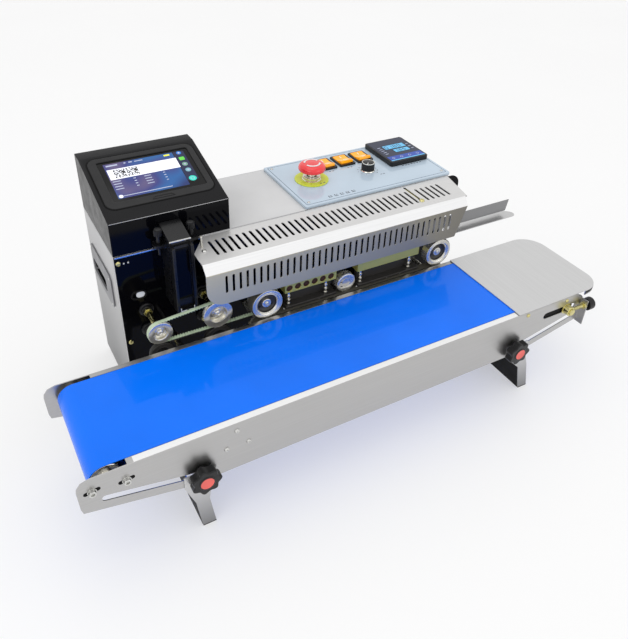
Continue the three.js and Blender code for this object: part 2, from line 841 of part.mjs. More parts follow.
// A drive gear with straight-sided teeth; the lower gear is turned half a pitch to mesh.
function driveGear(name, side) {
  const z = SEAL_Z + side * (UPPER_WHEEL_Z - SEAL_Z);
  const pitchR = UPPER_WHEEL_Z - SEAL_Z;
  const modulus = (2 * pitchR) / GEAR.teeth;
  const pitch = (2 * Math.PI) / GEAR.teeth;
  const phase = side > 0 ? -Math.PI / 2 : Math.PI / 2 + pitch / 2;
  const tip = pitchR + 0.85 * modulus;
  const root = pitchR - 1.15 * modulus;
  const tipHalf = (0.27 * modulus) / tip;
  const rootHalf = (1.18 * modulus - GEAR.backlash / 2) / root;
  const shape = new THREE.Shape();
  for (let i = 0; i < GEAR.teeth; i += 1) {
    const middle = phase + i * pitch;
    const corners = [
      [root, -rootHalf],
      [tip, -tipHalf],
      [tip, tipHalf],
      [root, rootHalf],
    ];
    corners.forEach(([r, offset], k) => {
      const u = DRIVE_X + r * Math.cos(middle + offset);
      const v = z + r * Math.sin(middle + offset);
      if (i === 0 && k === 0) shape.moveTo(u, v);
      else shape.lineTo(u, v);
    });
  }
  const bore = new THREE.Path();
  bore.absarc(DRIVE_X, z, SHAFT_R + GAP, 0, 2 * Math.PI);
  shape.holes.push(bore);
  add(name, upright(shape, GEAR.from, GEAR.to, 6), BRASS());
}

// Brass blocks over a black shoe that presses the band; the cooling block has cross holes.
const HEATER = { left: 472, right: 588 };
const COOLER = { left: 347, right: 434 };
const BLOCK = { front: 176, back: 192, low: 26.8, high: 42 };

function pressBlock(name, span, side, cross, surface) {
  const at = (distance) => SEAL_Z + side * distance;
  const between = (x0, y0, a, x1, y1, b) => {
    return block(x0, y0, Math.min(at(a), at(b)), x1, y1, Math.max(at(a), at(b)));
  };
  const sole = BAND_CLEARANCE + BAND_THICKNESS + GAP;
  const { left, right } = span;
  const pieces = [
    between(left, BLOCK.front, BLOCK.low, right, BLOCK.back, BLOCK.high),
    between(left, 172, sole, right, 191, sole + 4.4),
    between(left + 4, 184, sole + 4, right - 4, 191, BLOCK.low + 0.5),
    between(left + 20, 190, BLOCK.low + 2, right - 20, PLATE.front - GAP, BLOCK.low + 8),
  ];
  const studs = [left + 7, right - 17].map((x) => {
    const low = Math.min(at(sole + 4), at(BLOCK.low + 1));
    const high = Math.max(at(sole + 4), at(BLOCK.low + 1));
    return post(x, 179, 2.4, low, high, 8);
  });
  let body = join(...pieces, ...studs);
  if (cross) {
    const pitch = 14;
    const first = left + 7.5;
    const middle = (BLOCK.low + BLOCK.high) / 2;
    const bores = [0, 1, 2, 3, 4, 5].map((i) => {
      return bar(first + i * pitch, at(middle), 5, BLOCK.front - 1, BLOCK.front + 10, 10);
    });
    body = cut(body, ...bores);
  }
  add(name, body, surface);
}

function pressBlocks() {
  for (const [prefix, side] of [["upper", 1], ["lower", -1]]) {
    pressBlock(`${prefix}_heating_block`, HEATER, side, false, BRASS());
    pressBlock(`${prefix}_cooling_block`, COOLER, side, true, BRASS());
  }
}

function pressWheels() {
  for (const [name, side] of [["press_wheel", 1], ["backing_wheel", -1]]) {
    const { x, z } = pressCentre(side);
    const profile = [
      [0, PRESS.from + 2],
      [5, PRESS.from + 2],
      [6, PRESS.from + 4],
      [11, PRESS.from + 4],
      [12.5, PRESS.from],
      [PRESS.r - 0.8, PRESS.from],
      [PRESS.r, PRESS.from + 0.8],
      [PRESS.r, PRESS.to - 0.8],
      [PRESS.r - 0.8, PRESS.to],
      [4.2, PRESS.to],
      [4.2, SHAFT_END - 8],
      [0, SHAFT_END - 8],
    ];
    add(name, turned(x, z, profile, 20), BRIGHT());
  }
}

function guidePulley(name, pulley, side) {
  const { x, z, r } = guideCentre(pulley, side);
  const rim = r + GUIDE.thickness - 0.1;
  const profile = [
    [0, GUIDE.from - 3],
    [4, GUIDE.from - 3],
    [4.5, GUIDE.from + 2],
    [r - 6, GUIDE.from + 2],
    [r - 3, GUIDE.from - 1.2],
    [rim, GUIDE.from - 1.2],
    [rim, GUIDE.from - 0.2],
    [r, GUIDE.from - 0.2],
    [r, GUIDE.to + 0.2],
    [rim, GUIDE.to + 0.2],
    [rim, GUIDE.to + 1.2],
    [4.2, GUIDE.to + 1.2],
    [4.2, SHAFT_END - 10],
    [0, SHAFT_END - 10],
  ];
  add(name, turned(x, z, profile, 20), BRIGHT());
}

function guideBelts() {
  for (const [prefix, side] of [["upper", 1], ["lower", -1]]) {
    guidePulley(`${prefix}_guide_pulley_end`, GUIDE_PULLEYS.left, side);
    guidePulley(`${prefix}_guide_pulley_middle`, GUIDE_PULLEYS.middle, side);
    const driver = {
      x: DRIVE_X,
      z: SEAL_Z + side * (UPPER_WHEEL_Z - SEAL_Z),
      r: GUIDE_COAX_R,
    };
    const wheels = [guideCentre(GUIDE_PULLEYS.left, side), driver];
    const outline = loopOutline(wheels, GAP + GUIDE.thickness);
    outline.holes.push(loopOutline(wheels, GAP));
    add(`${prefix}_guide_belt`, upright(outline, GUIDE.from, GUIDE.to, 6), material(0xc9d6b8, 0.6, 0));
  }
}

function guardCover() {
  const g = GUARD;
  const t = g.sheet;
  const outline = polygon([
    [g.back, g.top],
    [g.bevelY, g.top],
    [g.front, g.bevelZ],
    [g.front, g.bottom],
    [g.front + t, g.bottom],
    [g.front + t, g.bevelZ - 0.4],
    [g.bevelY + 0.5, g.top - t],
    [g.back, g.top - t],
  ]);
  const sheet = lengthwise(outline, g.left, g.right);
  const tools = [];
  const pitch = (slots) => (slots.to - slots.from) / (slots.count - 1);
  for (let i = 0; i < TOP_SLOTS.count; i += 1) {
    const x = TOP_SLOTS.from + i * pitch(TOP_SLOTS);
    const half = TOP_SLOTS.width / 2;
    tools.push(block(x - half, TOP_SLOTS.near, g.top - 3, x + half, TOP_SLOTS.far, g.top + 1));
  }
  for (let i = 0; i < FRONT_SLOTS.count; i += 1) {
    const x = FRONT_SLOTS.from + i * pitch(FRONT_SLOTS);
    const half = FRONT_SLOTS.width / 2;
    tools.push(block(x - half, g.front - 1, FRONT_SLOTS.low, x + half, g.front + 3, FRONT_SLOTS.high));
  }
  // The right end is cut at a slant, the lower left corner is rounded and the rear left one is cut off.
  const slant = polygon([
    [g.right - 18, g.top + 5],
    [g.right + 5, g.top + 5],
    [g.right + 5, g.bottom - 5],
    [g.right - 40, g.bottom - 5],
    [g.right - 21, g.bevelZ],
  ]);
  tools.push(upright(slant, g.front - 2, g.bevelY));
  tools.push(flat(polygon([
    [g.right - 16, g.bevelY - 1],
    [g.right + 4, g.bevelY - 1],
    [g.right + 4, g.back + 4],
    [g.right, g.back + 4],
  ]), g.top - 4, g.top + 4));
  const corner = new THREE.Shape();
  corner.moveTo(g.left - 2, g.bottom - 2);
  corner.lineTo(g.left + g.corner, g.bottom - 2);
  corner.lineTo(g.left + g.corner, g.bottom);
  corner.absarc(g.left + g.corner, g.bottom + g.corner, g.corner, -Math.PI / 2, -Math.PI, true);
  corner.lineTo(g.left - 2, g.bottom + g.corner);
  tools.push(upright(corner, g.front - 2, g.front + 4, 4));
  tools.push(flat(polygon([
    [g.left - 3, 206],
    [g.left, 206],
    [g.left + 22, 236],
    [g.left + 22, g.back + 4],
    [g.left - 3, g.back + 4],
  ]), g.top - 4, g.top + 4));
  add("guard_cover", cut(sheet, ...tools), STEEL());
}

// Two folded strips beside the head's right end that the bag mouth slides between.
function bagGuides() {
  const wall = PLATE.front - GAP - 1.2;
  const lowerTop = 161.5;
  const shape = new THREE.Shape();
  shape.moveTo(650, wall + 1.2);
  shape.lineTo(650, wall - 4);
  shape.lineTo(672, 231.5);
  shape.absarc(LENGTH - 9, 231.5 + 9, 9, -Math.PI / 2, Math.PI / 4);
  shape.lineTo(LENGTH - 14, 257);
  shape.lineTo(CASE.right + 12, 257);
  shape.lineTo(CASE.right + 12, wall + 1.2);
  const lower = join(
    flat(shape, lowerTop - 1.2, lowerTop, 6),
    block(650, wall, lowerTop - 14, CASE.right + 12, wall + 1.2, lowerTop - 0.5),
  );
  add("lower_bag_guide", lower, STEEL());

  const low = 170;
  const high = 192;
  const end = 843;
  const profile = polygon([
    [650, low],
    [end - 4, low],
    [end, high],
    [650, high],
  ]);
  const upper = join(
    upright(profile, wall, wall + 1.2),
    flat(polygon([
      [CASE.right + 2, wall + 0.6],
      [end - 4, wall + 0.6],
      [end - 4, 254],
      [CASE.right + 2, 254],
    ]), low, low + 1.2),
  );
  add("upper_bag_guide", upper, STEEL());
}

function gearMotor() {
  const z = UPPER_WHEEL_Z;
  const front = SHAFT_END + 4;
  const casting = roundedRect(DRIVE_X - 24, z - 24, DRIVE_X + 24, z + 24, 6);
  const round = (r, length) => new THREE.CylinderGeometry(r, r, length, 20).rotateZ(Math.PI / 2);
  const motor = join(
    upright(casting, front, front + 46, 4),
    round(29, 96).translate(DRIVE_X + 70, front + 40, z),
    round(9, 14).translate(DRIVE_X + 122, front + 40, z),
  );
  add("gear_motor", motor, material(0x6d7278, 0.5, 0.6));
}

// ---------------------------------------------------------------- ink-jet printer

const CARTRIDGE = { left: 192.4, right: 221.5, front: 196, back: 244.4, low: 189, high: 294 };
const LID = { front: 205, frontTop: 300, backTop: 309 };
const EARS = { left: 178, right: 240, near: 223, far: 239, low: 283, thickness: 4 };
const CARTRIDGE_SCREWS = { left: 186, right: 231, y: 231, above: 13 };

function printCartridge() {
  const { left, right, front, back, low, high } = CARTRIDGE;
  const side = polygon([
    [front, low],
    [back, low],
    [back, LID.backTop],
    [LID.front, LID.frontTop],
    [LID.front, high],
    [front, high],
  ]);
  const earsTop = EARS.low + EARS.thickness;
  const earOutline = roundedRect(EARS.left, EARS.near, EARS.right, EARS.far, 4);
  const ears = flat(earOutline, EARS.low, earsTop, 3);
  const channel = block(left + 4, front - 1, low + 5, right - 4, front + 6, high + 1);
  const screwHoles = [CARTRIDGE_SCREWS.left, CARTRIDGE_SCREWS.right].map((x) => {
    return post(x, CARTRIDGE_SCREWS.y, 2.9, EARS.low - 2, earsTop + 2);
  });
  const body = join(lengthwise(side, left, right), ears);
  add("print_cartridge", cut(body, channel, ...screwHoles), BLACK_PLASTIC());
}

function cartridgeScrews() {
  for (const side of ["left", "right"]) {
    const top = EARS.low + EARS.thickness;
    const head = top + CARTRIDGE_SCREWS.above;
    const screw = turnedUp(CARTRIDGE_SCREWS[side], CARTRIDGE_SCREWS.y, [
      [0, top - 18],
      [2.5, top - 18],
      [2.5, top + GAP],
      [3.6, top + GAP],
      [3.6, head - 2],
      [6, head - 1],
      [6, head + 7],
      [5, head + 8.5],
      [0, head + 9],
    ], 14);
    add(`cartridge_screw_${side}`, screw, BLACK_PLASTIC());
  }
}

// ---------------------------------------------------------------- the machine

conveyorRails();
conveyorBed();
conveyorBelt();
conveyorRollers();
infeedTable();
leg("left_leg", CLAMP.left, -18, 13);
leg("right_leg", CLAMP.right, 10, 25);
starKnob("left_star_knob", CLAMP.left);
starKnob("right_star_knob", CLAMP.right);
tensionScrew();

casingShell();
handleCup("left_handle_cup", CASE.left, 1);
handleCup("right_handle_cup", CASE.right, -1);
basePlate();
rubberFeet();
rearCover();
frontPlate();
printerHood();
controlPanel();
rockers();
emergencyStop();
speedKnob();
temperatureController();

sealingWheels();
sealingBand("upper_sealing_band", 1);
sealingBand("lower_sealing_band", -1);
driveGear("upper_drive_gear", 1);
driveGear("lower_drive_gear", -1);
pressBlocks();
pressWheels();
guideBelts();
guardCover();
bagGuides();
gearMotor();
printCartridge();
cartridgeScrews();

export default machine;
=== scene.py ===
"""Continuous band sealer: materials, finer shapes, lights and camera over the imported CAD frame.

Lengths inside the shapes are millimetres in machine coordinates: x from the conveyor's left end,
y from the conveyor's front face towards the casing, z up from the floor.
"""

import json
import math

import bmesh
import bpy
from mathutils import Matrix, Vector


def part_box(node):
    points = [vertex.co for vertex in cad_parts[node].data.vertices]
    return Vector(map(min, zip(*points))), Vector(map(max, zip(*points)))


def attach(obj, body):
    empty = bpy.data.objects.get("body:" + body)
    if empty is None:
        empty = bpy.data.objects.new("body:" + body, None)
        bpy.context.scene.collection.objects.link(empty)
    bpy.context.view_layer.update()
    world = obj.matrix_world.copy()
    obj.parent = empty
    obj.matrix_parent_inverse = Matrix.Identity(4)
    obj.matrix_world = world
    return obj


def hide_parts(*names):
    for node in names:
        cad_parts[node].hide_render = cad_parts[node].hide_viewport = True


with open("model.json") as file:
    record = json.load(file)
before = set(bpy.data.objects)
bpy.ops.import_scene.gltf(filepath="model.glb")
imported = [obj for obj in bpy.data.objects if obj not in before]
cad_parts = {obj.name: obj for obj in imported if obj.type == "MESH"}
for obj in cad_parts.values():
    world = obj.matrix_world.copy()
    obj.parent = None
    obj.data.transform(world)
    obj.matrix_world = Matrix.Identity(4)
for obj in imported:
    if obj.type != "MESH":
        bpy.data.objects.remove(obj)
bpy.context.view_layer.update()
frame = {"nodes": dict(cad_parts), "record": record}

MM = 0.001
ORIGIN = Vector((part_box("conveyor_front_rail")[0].x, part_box("infeed_table")[0].y, 0.0))
RUNNING_GAP = 0.3
ROOT = "machine"


def span(node):
    """Lowest and highest corner of a CAD node in machine millimetres."""
    low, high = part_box(node)
    return (low - ORIGIN) / MM, (high - ORIGIN) / MM


def centre(node):
    low, high = span(node)
    return (low + high) / 2


def wheel_of(node):
    """(x, z, radius) of a node that turns about y."""
    low, high = span(node)
    x, _, z = centre(node)
    return x, z, (high.z - low.z) / 2


# ---------------------------------------------------------------- materials

ALL_ROUND = (1, 1, 1)
ALONG_X = (0.012, 1, 1)
ALONG_Y = (1, 0.012, 1)
# Nearly all values of a noise lie between these two.
NOISE_LOW, NOISE_HIGH = 0.3, 0.7


class Paint:
    """A node material with one Principled shader, built up by the calls below."""

    def __init__(self, name, color, roughness, metallic=0.0):
        self.material = bpy.data.materials.new(name)
        self.material.use_nodes = True
        self.tree = self.material.node_tree
        self.shader = self.tree.nodes["Principled BSDF"]
        self.color = color
        self.set("Base Color", (*color, 1.0))
        self.set("Roughness", roughness)
        self.set("Metallic", metallic)
        self.place = self.add("TexCoord").outputs["Object"]

    def set(self, socket, value):
        self.shader.inputs[socket].default_value = value

    def feed(self, socket, source):
        self.tree.links.new(source, self.shader.inputs[socket])

    def add(self, kind, values=None, links=None):
        """A new node with these input values, and with these outputs linked into its inputs."""
        node = self.tree.nodes.new("ShaderNode" + kind)
        for socket, value in (values or {}).items():
            node.inputs[socket].default_value = value
        for socket, source in (links or {}).items():
            self.tree.links.new(source, node.inputs[socket])
        return node

    def noise(self, scale, stretch=ALL_ROUND, detail=4.0):
        """Noise with features of 1/scale metres, stretched along an axis where its factor is small."""
        mapping = self.add("Mapping", {"Scale": [scale * s for s in stretch]}, {"Vector": self.place})
        values = {"Scale": 1.0, "Detail": detail}
        texture = self.add("TexNoise", values, {"Vector": mapping.outputs["Vector"]})
        return texture.outputs["Fac"]

    def ramp(self, fac, stops):
        """A colour that runs through (position, colour) stops as fac rises."""
        node = self.add("ValToRGB", links={"Fac": fac})
        elements = node.color_ramp.elements
        while len(elements) < len(stops):
            elements.new(0.5)
        for element, (position, color) in zip(elements, stops):
            element.position = position
            element.color = (*color, 1.0)
        return node.outputs["Color"]

    def vary_roughness(self, fac, low, high):
        values = {"From Min": NOISE_LOW, "From Max": NOISE_HIGH, "To Min": low, "To Max": high}
        self.feed("Roughness", self.add("MapRange", values, {"Value": fac}).outputs["Result"])

    def vary_color(self, fac, dark, light):
        """Runs the colour from dark to light times its own value as fac rises."""
        ends = [[min(1.0, c * gain) for c in self.color] for gain in (dark, light)]
        self.feed("Base Color", self.ramp(fac, list(zip((NOISE_LOW, NOISE_HIGH), ends))))

    def bump(self, fac, strength, distance):
        node = self.add("Bump", {"Strength": strength, "Distance": distance}, {"Height": fac})
        self.feed("Normal", node.outputs["Normal"])


def painted_shade_sheet(name, low, high, low_color, high_color, metallic, axis="Z"):
    """Brushed sheet with painted shade: its colour runs darker towards one end, where it mirrors less of the
    room.
    """
    paint = Paint(name, high_color, 0.32, metallic)
    split = paint.add("SeparateXYZ", links={"Vector": paint.place})
    limits = {"From Min": low, "From Max": high}
    share = paint.add("MapRange", limits, {"Value": split.outputs[axis]}).outputs["Result"]
    paint.feed("Base Color", paint.ramp(share, [(0, low_color), (1, high_color)]))
    paint.vary_roughness(paint.noise(5, detail=2), 0.28, 0.38)
    paint.bump(paint.noise(900, ALONG_X, 3), 0.02, 0.0001)
    return paint.material


def display_field(name):
    """The display's backdrop: navy at the right, blue above, mauve towards the lower left."""
    paint = Paint(name, (0.02, 0.05, 0.28), 0.1)
    stops = [(0.30, (0.004, 0.016, 0.09)), (0.44, (0.008, 0.07, 0.22)), (0.56, (0.02, 0.025, 0.13)),
             (0.72, (0.12, 0.085, 0.13))]
    clouds = paint.ramp(paint.noise(16, detail=1), stops)
    paint.feed("Base Color", clouds)
    paint.feed("Emission Color", clouds)
    paint.set("Emission Strength", 0.7)
    paint.vary_roughness(paint.noise(200), 0.06, 0.14)
    return paint.material


def brushed(name, color, grain, roughness=(0.26, 0.36), metallic=1.0):
    paint = Paint(name, color, sum(roughness) / 2, metallic)
    lines = paint.noise(900, grain, 3)
    paint.vary_color(lines, 0.96, 1.03)
    paint.vary_roughness(paint.noise(5, detail=2), *roughness)
    paint.bump(lines, 0.02, 0.0001)
    return paint.material


def turned_steel(name, color, roughness=(0.08, 0.22)):
    paint = Paint(name, color, sum(roughness) / 2, 1.0)
    fine = paint.noise(700, detail=5)
    paint.vary_color(paint.noise(120), 0.9, 1.06)
    paint.vary_roughness(fine, *roughness)
    paint.bump(fine, 0.05, 0.0001)
    return paint.material


def moulded(name, color, roughness=(0.34, 0.5), grain=1800, depth=0.12, shine=0.5, coat=0.0):
    paint = Paint(name, color, sum(roughness) / 2)
    paint.vary_color(paint.noise(26, detail=3), 0.88, 1.1)
    paint.vary_roughness(paint.noise(60), *roughness)
    paint.bump(paint.noise(grain, detail=2), depth, 0.00012)
    paint.set("Coat Weight", coat)
    paint.set("Coat Roughness", 0.08)
    paint.set("Specular IOR Level", shine)
    return paint.material


def enamel(name, color, roughness=(0.1, 0.2), peel=0.06, shine=0.5):
    paint = Paint(name, color, sum(roughness) / 2)
    paint.set("Specular IOR Level", shine)
    paint.vary_color(paint.noise(14, detail=3), 0.95, 1.04)
    paint.vary_roughness(paint.noise(45), *roughness)
    paint.bump(paint.noise(420, detail=2), peel, 0.0002)
    return paint.material


def belting(name, color):
    """Smooth PVC belting: faint lengthwise rub marks over a very fine pebble."""
    paint = Paint(name, color, 0.2)
    paint.vary_color(paint.noise(7, detail=3), 0.94, 1.08)
    paint.vary_roughness(paint.noise(260, (0.03, 1, 1), 5), 0.19, 0.25)
    paint.bump(paint.noise(900, detail=2), 0.04, 0.0001)
    paint.set("Specular IOR Level", 0.1)
    paint.set("Coat Weight", 0.25)
    paint.set("Coat Roughness", 0.02)
    return paint.material


def woven(name, color):
    paint = Paint(name, color, 0.6)
    paint.vary_color(paint.noise(80), 0.85, 1.08)
    paint.bump(paint.noise(1500, (1, 0.3, 1), 2), 0.3, 0.0002)
    return paint.material


def lit(name, color, strength):
    """A lamp or display area behind clear plastic."""
    paint = Paint(name, color, 0.1)
    paint.vary_color(paint.noise(70, detail=3), 0.9, 1.1)
    paint.vary_roughness(paint.noise(200), 0.06, 0.16)
    paint.set("Emission Color", (*color, 1.0))
    paint.set("Emission Strength", strength)
    return paint.material


STEEL_X = brushed("steel_grain_along_x", (0.49, 0.485, 0.48), ALONG_X)
# Painted light: the guard's top, front and bevel are lit and shaded copies of one steel. The front is
# painted darker along its length, and the bevel is nearly white as a painted highlight.
STEEL_TOP = brushed("steel_guard", (0.67, 0.665, 0.66), ALONG_X, (0.36, 0.46), 0.45)
STEEL_TABLE = brushed("steel_table", (0.66, 0.66, 0.66), ALONG_Y, (0.3, 0.4), 0.9)
# Painted shade: the legs' steel runs darker towards the floor.
STEEL_LEG = painted_shade_sheet("steel_leg", 0.004, 0.085, (0.24, 0.24, 0.245), (0.60, 0.60, 0.60), 0.7)
GUARD_FRONT = painted_shade_sheet("steel_guard_front", -0.2, 0.26, (0.57, 0.52, 0.35), (0.19, 0.18, 0.16), 0.45, "X")
GUARD_BEVEL = brushed("steel_guard_bevel", (0.86, 0.86, 0.86), ALONG_X, (0.36, 0.46), 0.3)
# Painted shade: the casing's end faces are a darker copy of its paint, darker still towards the floor.
SIDE_STEEL = painted_shade_sheet("steel_casing_side", 0.01, 0.27, (0.12, 0.12, 0.125), (0.46, 0.46, 0.465), 0.6)
# Painted shade: a darker copy of the bag guide's stainless for the upper guide's wall.
SHADED_GUIDE_WALL = brushed("steel_guide_wall_painted_shade", (0.26, 0.26, 0.265), ALONG_X, (0.24, 0.34))
STEEL_GUIDE = brushed("steel_bag_guide", (0.6, 0.6, 0.6), ALONG_X, (0.24, 0.34))
BRIGHT = turned_steel("bright_turned_steel", (0.80, 0.78, 0.72))
WHEEL = brushed("wheel_steel", (0.76, 0.74, 0.67), ALL_ROUND, (0.15, 0.24), 0.82)
SCREW_STEEL = turned_steel("zinc_screw", (0.62, 0.62, 0.60), (0.2, 0.35))
CASING = enamel("casing_grey_paint", (0.62, 0.62, 0.625), (0.3, 0.42), 0.1)
BLACK_PLATE = enamel("black_gloss_enamel", (0.002, 0.002, 0.003), (0.05, 0.1), 0.01, 0.1)
HOOD = moulded("hood_black_plastic", (0.006, 0.006, 0.007), (0.26, 0.36), 2400, 0.04, 0.14)
BEZEL = moulded("bezel_black_plastic", (0.022, 0.022, 0.023), (0.36, 0.46), 2400, 0.05, 0.2)
BLACK = moulded("black_plastic", (0.006, 0.006, 0.007), (0.24, 0.34), 1500, 0.05, 0.35)
MATTE_BLACK = moulded("matte_black_plastic", (0.008, 0.008, 0.009), (0.42, 0.56), 1800, 0.1, 0.3)
# Near-black painted shadow, laid as thin sheets and rings where there is only shade.
SHADOW_BLACK = moulded("groove_shadow", (0.003, 0.003, 0.003), (0.5, 0.6), 900, 0.02, 0.1)
# A pale gloss for thin strips along edges: painted highlight.
EDGE_HIGHLIGHT = enamel("edge_painted_highlight", (0.45, 0.45, 0.46), (0.1, 0.16), 0.01)
# Painted shade under the infeed table's rim.
SKIRT_SHADE = moulded("skirt_shadow_steel", (0.02, 0.02, 0.021), (0.3, 0.4), 900, 0.04, 0.4)
# Dark steel of the bar shoes, also used as painted shade in the wheels' hub grooves and on the guard's
# hidden faces.
SHOE_AND_SHADE = moulded("dark_shoe_steel_and_painted_shade", (0.03, 0.028, 0.026), (0.3, 0.45), 900, 0.1)
PIT_BROWN = moulded("bore_shadow_brown", (0.05, 0.022, 0.012), (0.5, 0.6), 900, 0.05, 0.2)
GREY_PLASTIC = moulded("grey_plastic", (0.20, 0.20, 0.21), (0.36, 0.5))
RUBBER = moulded("black_rubber", (0.013, 0.013, 0.013), (0.6, 0.8), 900, 0.25)
PANEL = enamel("panel_overlay", (0.50, 0.60, 0.70), (0.05, 0.09), 0.008)
PANEL_INK = enamel("panel_line", (0.14, 0.20, 0.27), (0.2, 0.3), 0.02)
PANEL_TEXT = enamel("panel_print", (0.03, 0.04, 0.06), (0.2, 0.3), 0.02)
MARK_WHITE = enamel("white_print", (0.85, 0.85, 0.85), (0.25, 0.35), 0.01)
LAMP_WHITE = enamel("white_lens", (0.80, 0.82, 0.86), (0.1, 0.16), 0.01)
RED = moulded("red_plastic", (0.83, 0.03, 0.035), (0.16, 0.26), 1500, 0.03, coat=0.5)
SALMON = moulded("salmon_cap", (0.80, 0.12, 0.10), (0.3, 0.42), 1500, 0.05)
YELLOW = moulded("yellow_plate", (0.62, 0.72, 0.045), (0.3, 0.42), 1500, 0.04)
ORANGE = lit("orange_rocker", (0.90, 0.36, 0.01), 0.35)
BRASS = brushed("brass_bar", (0.52, 0.49, 0.14), ALONG_X, (0.34, 0.44), 0.5)
BRASS_BRIGHT = turned_steel("brass_screw", (0.66, 0.60, 0.28), (0.18, 0.3))
COPPER = turned_steel("copper_bolt", (0.75, 0.36, 0.20), (0.2, 0.34))
BLUE_BELT = belting("blue_belt", (0.001, 0.165, 0.93))
BAND = woven("sealing_band_cloth", (0.07, 0.065, 0.05))
GUIDE_BELT = woven("green_urethane", (0.54, 0.66, 0.48))
CASTING = moulded("motor_casting", (0.13, 0.15, 0.17), (0.4, 0.6), 300, 0.3)
GLASS_BLACK = enamel("screen_glass", (0.006, 0.006, 0.006), (0.05, 0.09), 0.005, 0.2)
NAVY = enamel("controller_face", (0.012, 0.018, 0.05), (0.12, 0.2), 0.01, 0.3)
KEY_BLUE = enamel("controller_key_strip", (0.02, 0.07, 0.42), (0.12, 0.2), 0.01, 0.3)
KEY_SKY = lit("controller_display", (0.10, 0.42, 0.70), 0.25)
DISPLAY_DARK = lit("display_navy", (0.003, 0.006, 0.04), 0.5)
DISPLAY_WHITE = lit("display_white", (0.85, 0.87, 0.95), 0.3)
DISPLAY_GREY = lit("display_grey", (0.38, 0.42, 0.55), 0.4)
DISPLAY_INK = lit("display_ink", (0.02, 0.02, 0.025), 0.1)
DISPLAY_YELLOW = lit("display_yellow", (0.80, 0.80, 0.05), 0.4)
DISPLAY_BLUE = lit("display_key_blue", (0.02, 0.14, 0.45), 0.5)
DISPLAY_GREEN = lit("display_key_green", (0.10, 0.50, 0.05), 0.5)
DISPLAY_SAGE = lit("display_key_sage", (0.14, 0.28, 0.22), 0.5)
DISPLAY_TEAL_GREY = lit("display_key_grey", (0.16, 0.34, 0.40), 0.5)
DISPLAY_TEAL = lit("display_key_teal", (0.02, 0.50, 0.40), 0.5)
DISPLAY = display_field("display_field")

# The first material of a slot is worn by its CAD nodes; the others are only listed beside it.
SLOTS = {
    "stainless": (STEEL_X, STEEL_TOP, GUARD_BEVEL, SKIRT_SHADE, SHADOW_BLACK),
    "bright_steel": (BRIGHT, WHEEL, SCREW_STEEL),
    "white_paint": (CASING, LAMP_WHITE, SIDE_STEEL),
    "black_plate": (BLACK_PLATE,),
    "black_plastic": (BLACK, BEZEL),
    "matte_black": (MATTE_BLACK,),
    "grey_plastic": (GREY_PLASTIC,),
    "panel_face": (PANEL, PANEL_INK, PANEL_TEXT),
    "screen": (GLASS_BLACK, NAVY, KEY_BLUE, KEY_SKY, DISPLAY_GREY),
    "red_plastic": (RED, SALMON),
    "yellow_plastic": (YELLOW,),
    "orange_plastic": (ORANGE,),
    "brass": (BRASS, BRASS_BRIGHT, PIT_BROWN),
    "rubber": (RUBBER,),
    "blue_belt": (BLUE_BELT,),
    "band_cloth": (BAND,),
    "guide_belting": (GUIDE_BELT,),
    "motor_metal": (CASTING, SHOE_AND_SHADE),
}
NODE_MATERIALS = {
    "infeed_table": STEEL_TABLE,
    "left_leg": STEEL_LEG,
    "right_leg": STEEL_LEG,
    "guard_cover": STEEL_TOP,
    "printer_hood": HOOD,
    "lower_bag_guide": STEEL_GUIDE,
    "upper_bag_guide": SHADED_GUIDE_WALL,
}
CAD_EDGE = 0.35
PIECE_EDGE = 0.3
SCREW_EDGE = 0.12
CREASE = 34
NODE_EDGES = {
    "printer_hood": 1.2,
    "casing_shell": 0.7,
    "infeed_table": 0.6,
    "left_leg": 0.7,
    "right_leg": 0.7,
}


def finish_edges(obj, width, weld=False):
    """Smooth shading with a small rounded edge, so that corners catch the light."""
    for face in obj.data.polygons:
        face.use_smooth = True
    if weld:
        obj.modifiers.new("weld", "WELD").merge_threshold = 1e-6
    if width > 0:
        bevel = obj.modifiers.new("edge", "BEVEL")
        bevel.width = width * MM
        bevel.segments = 2
        bevel.limit_method = "ANGLE"
        bevel.angle_limit = math.radians(CREASE)
        bevel.use_clamp_overlap = True
        bevel.miter_outer = "MITER_ARC"
    obj.modifiers.new("normals", "WEIGHTED_NORMAL").keep_sharp = True


def dress_cad_nodes():
    for part in frame["record"]["subparts"]:
        node = part["node"]
        obj = frame["nodes"][node]
        for material_slot in obj.material_slots:
            material_slot.link = "OBJECT"
            material_slot.material = NODE_MATERIALS.get(node, SLOTS[part["material_slot"]][0])
        if node == "printer_hood":
            flats = obj.modifiers.new("flats", "DECIMATE")
            flats.decimate_type = "DISSOLVE"
            flats.angle_limit = math.radians(0.6)
        finish_edges(obj, NODE_EDGES.get(node, CAD_EDGE), weld=True)


# ---------------------------------------------------------------- outlines, as lists of (u, v)


def arc(u, v, r, start, end, steps):
    """Points on an arc, angles in degrees."""
    angles = [math.radians(start + (end - start) * i / steps) for i in range(steps + 1)]
    return [(u + r * math.cos(a), v + r * math.sin(a)) for a in angles]


def circle(u, v, r, steps=48):
    return arc(u, v, r, 0, 360, steps)[:-1]


def polar(u, v, radii):
    """A closed outline with these radii at even angles, for knurls and lobes."""
    angles = [2 * math.pi * i / len(radii) for i in range(len(radii))]
    return [(u + r * math.cos(a), v + r * math.sin(a)) for r, a in zip(radii, angles)]


def rounded(u0, v0, u1, v1, r, steps=8):
    return (
        arc(u1 - r, v0 + r, r, -90, 0, steps)
        + arc(u1 - r, v1 - r, r, 0, 90, steps)
        + arc(u0 + r, v1 - r, r, 90, 180, steps)
        + arc(u0 + r, v0 + r, r, 180, 270, steps)
    )


def pane(u, v, half_u, half_v, r):
    return rounded(u - half_u, v - half_v, u + half_u, v + half_v, r)


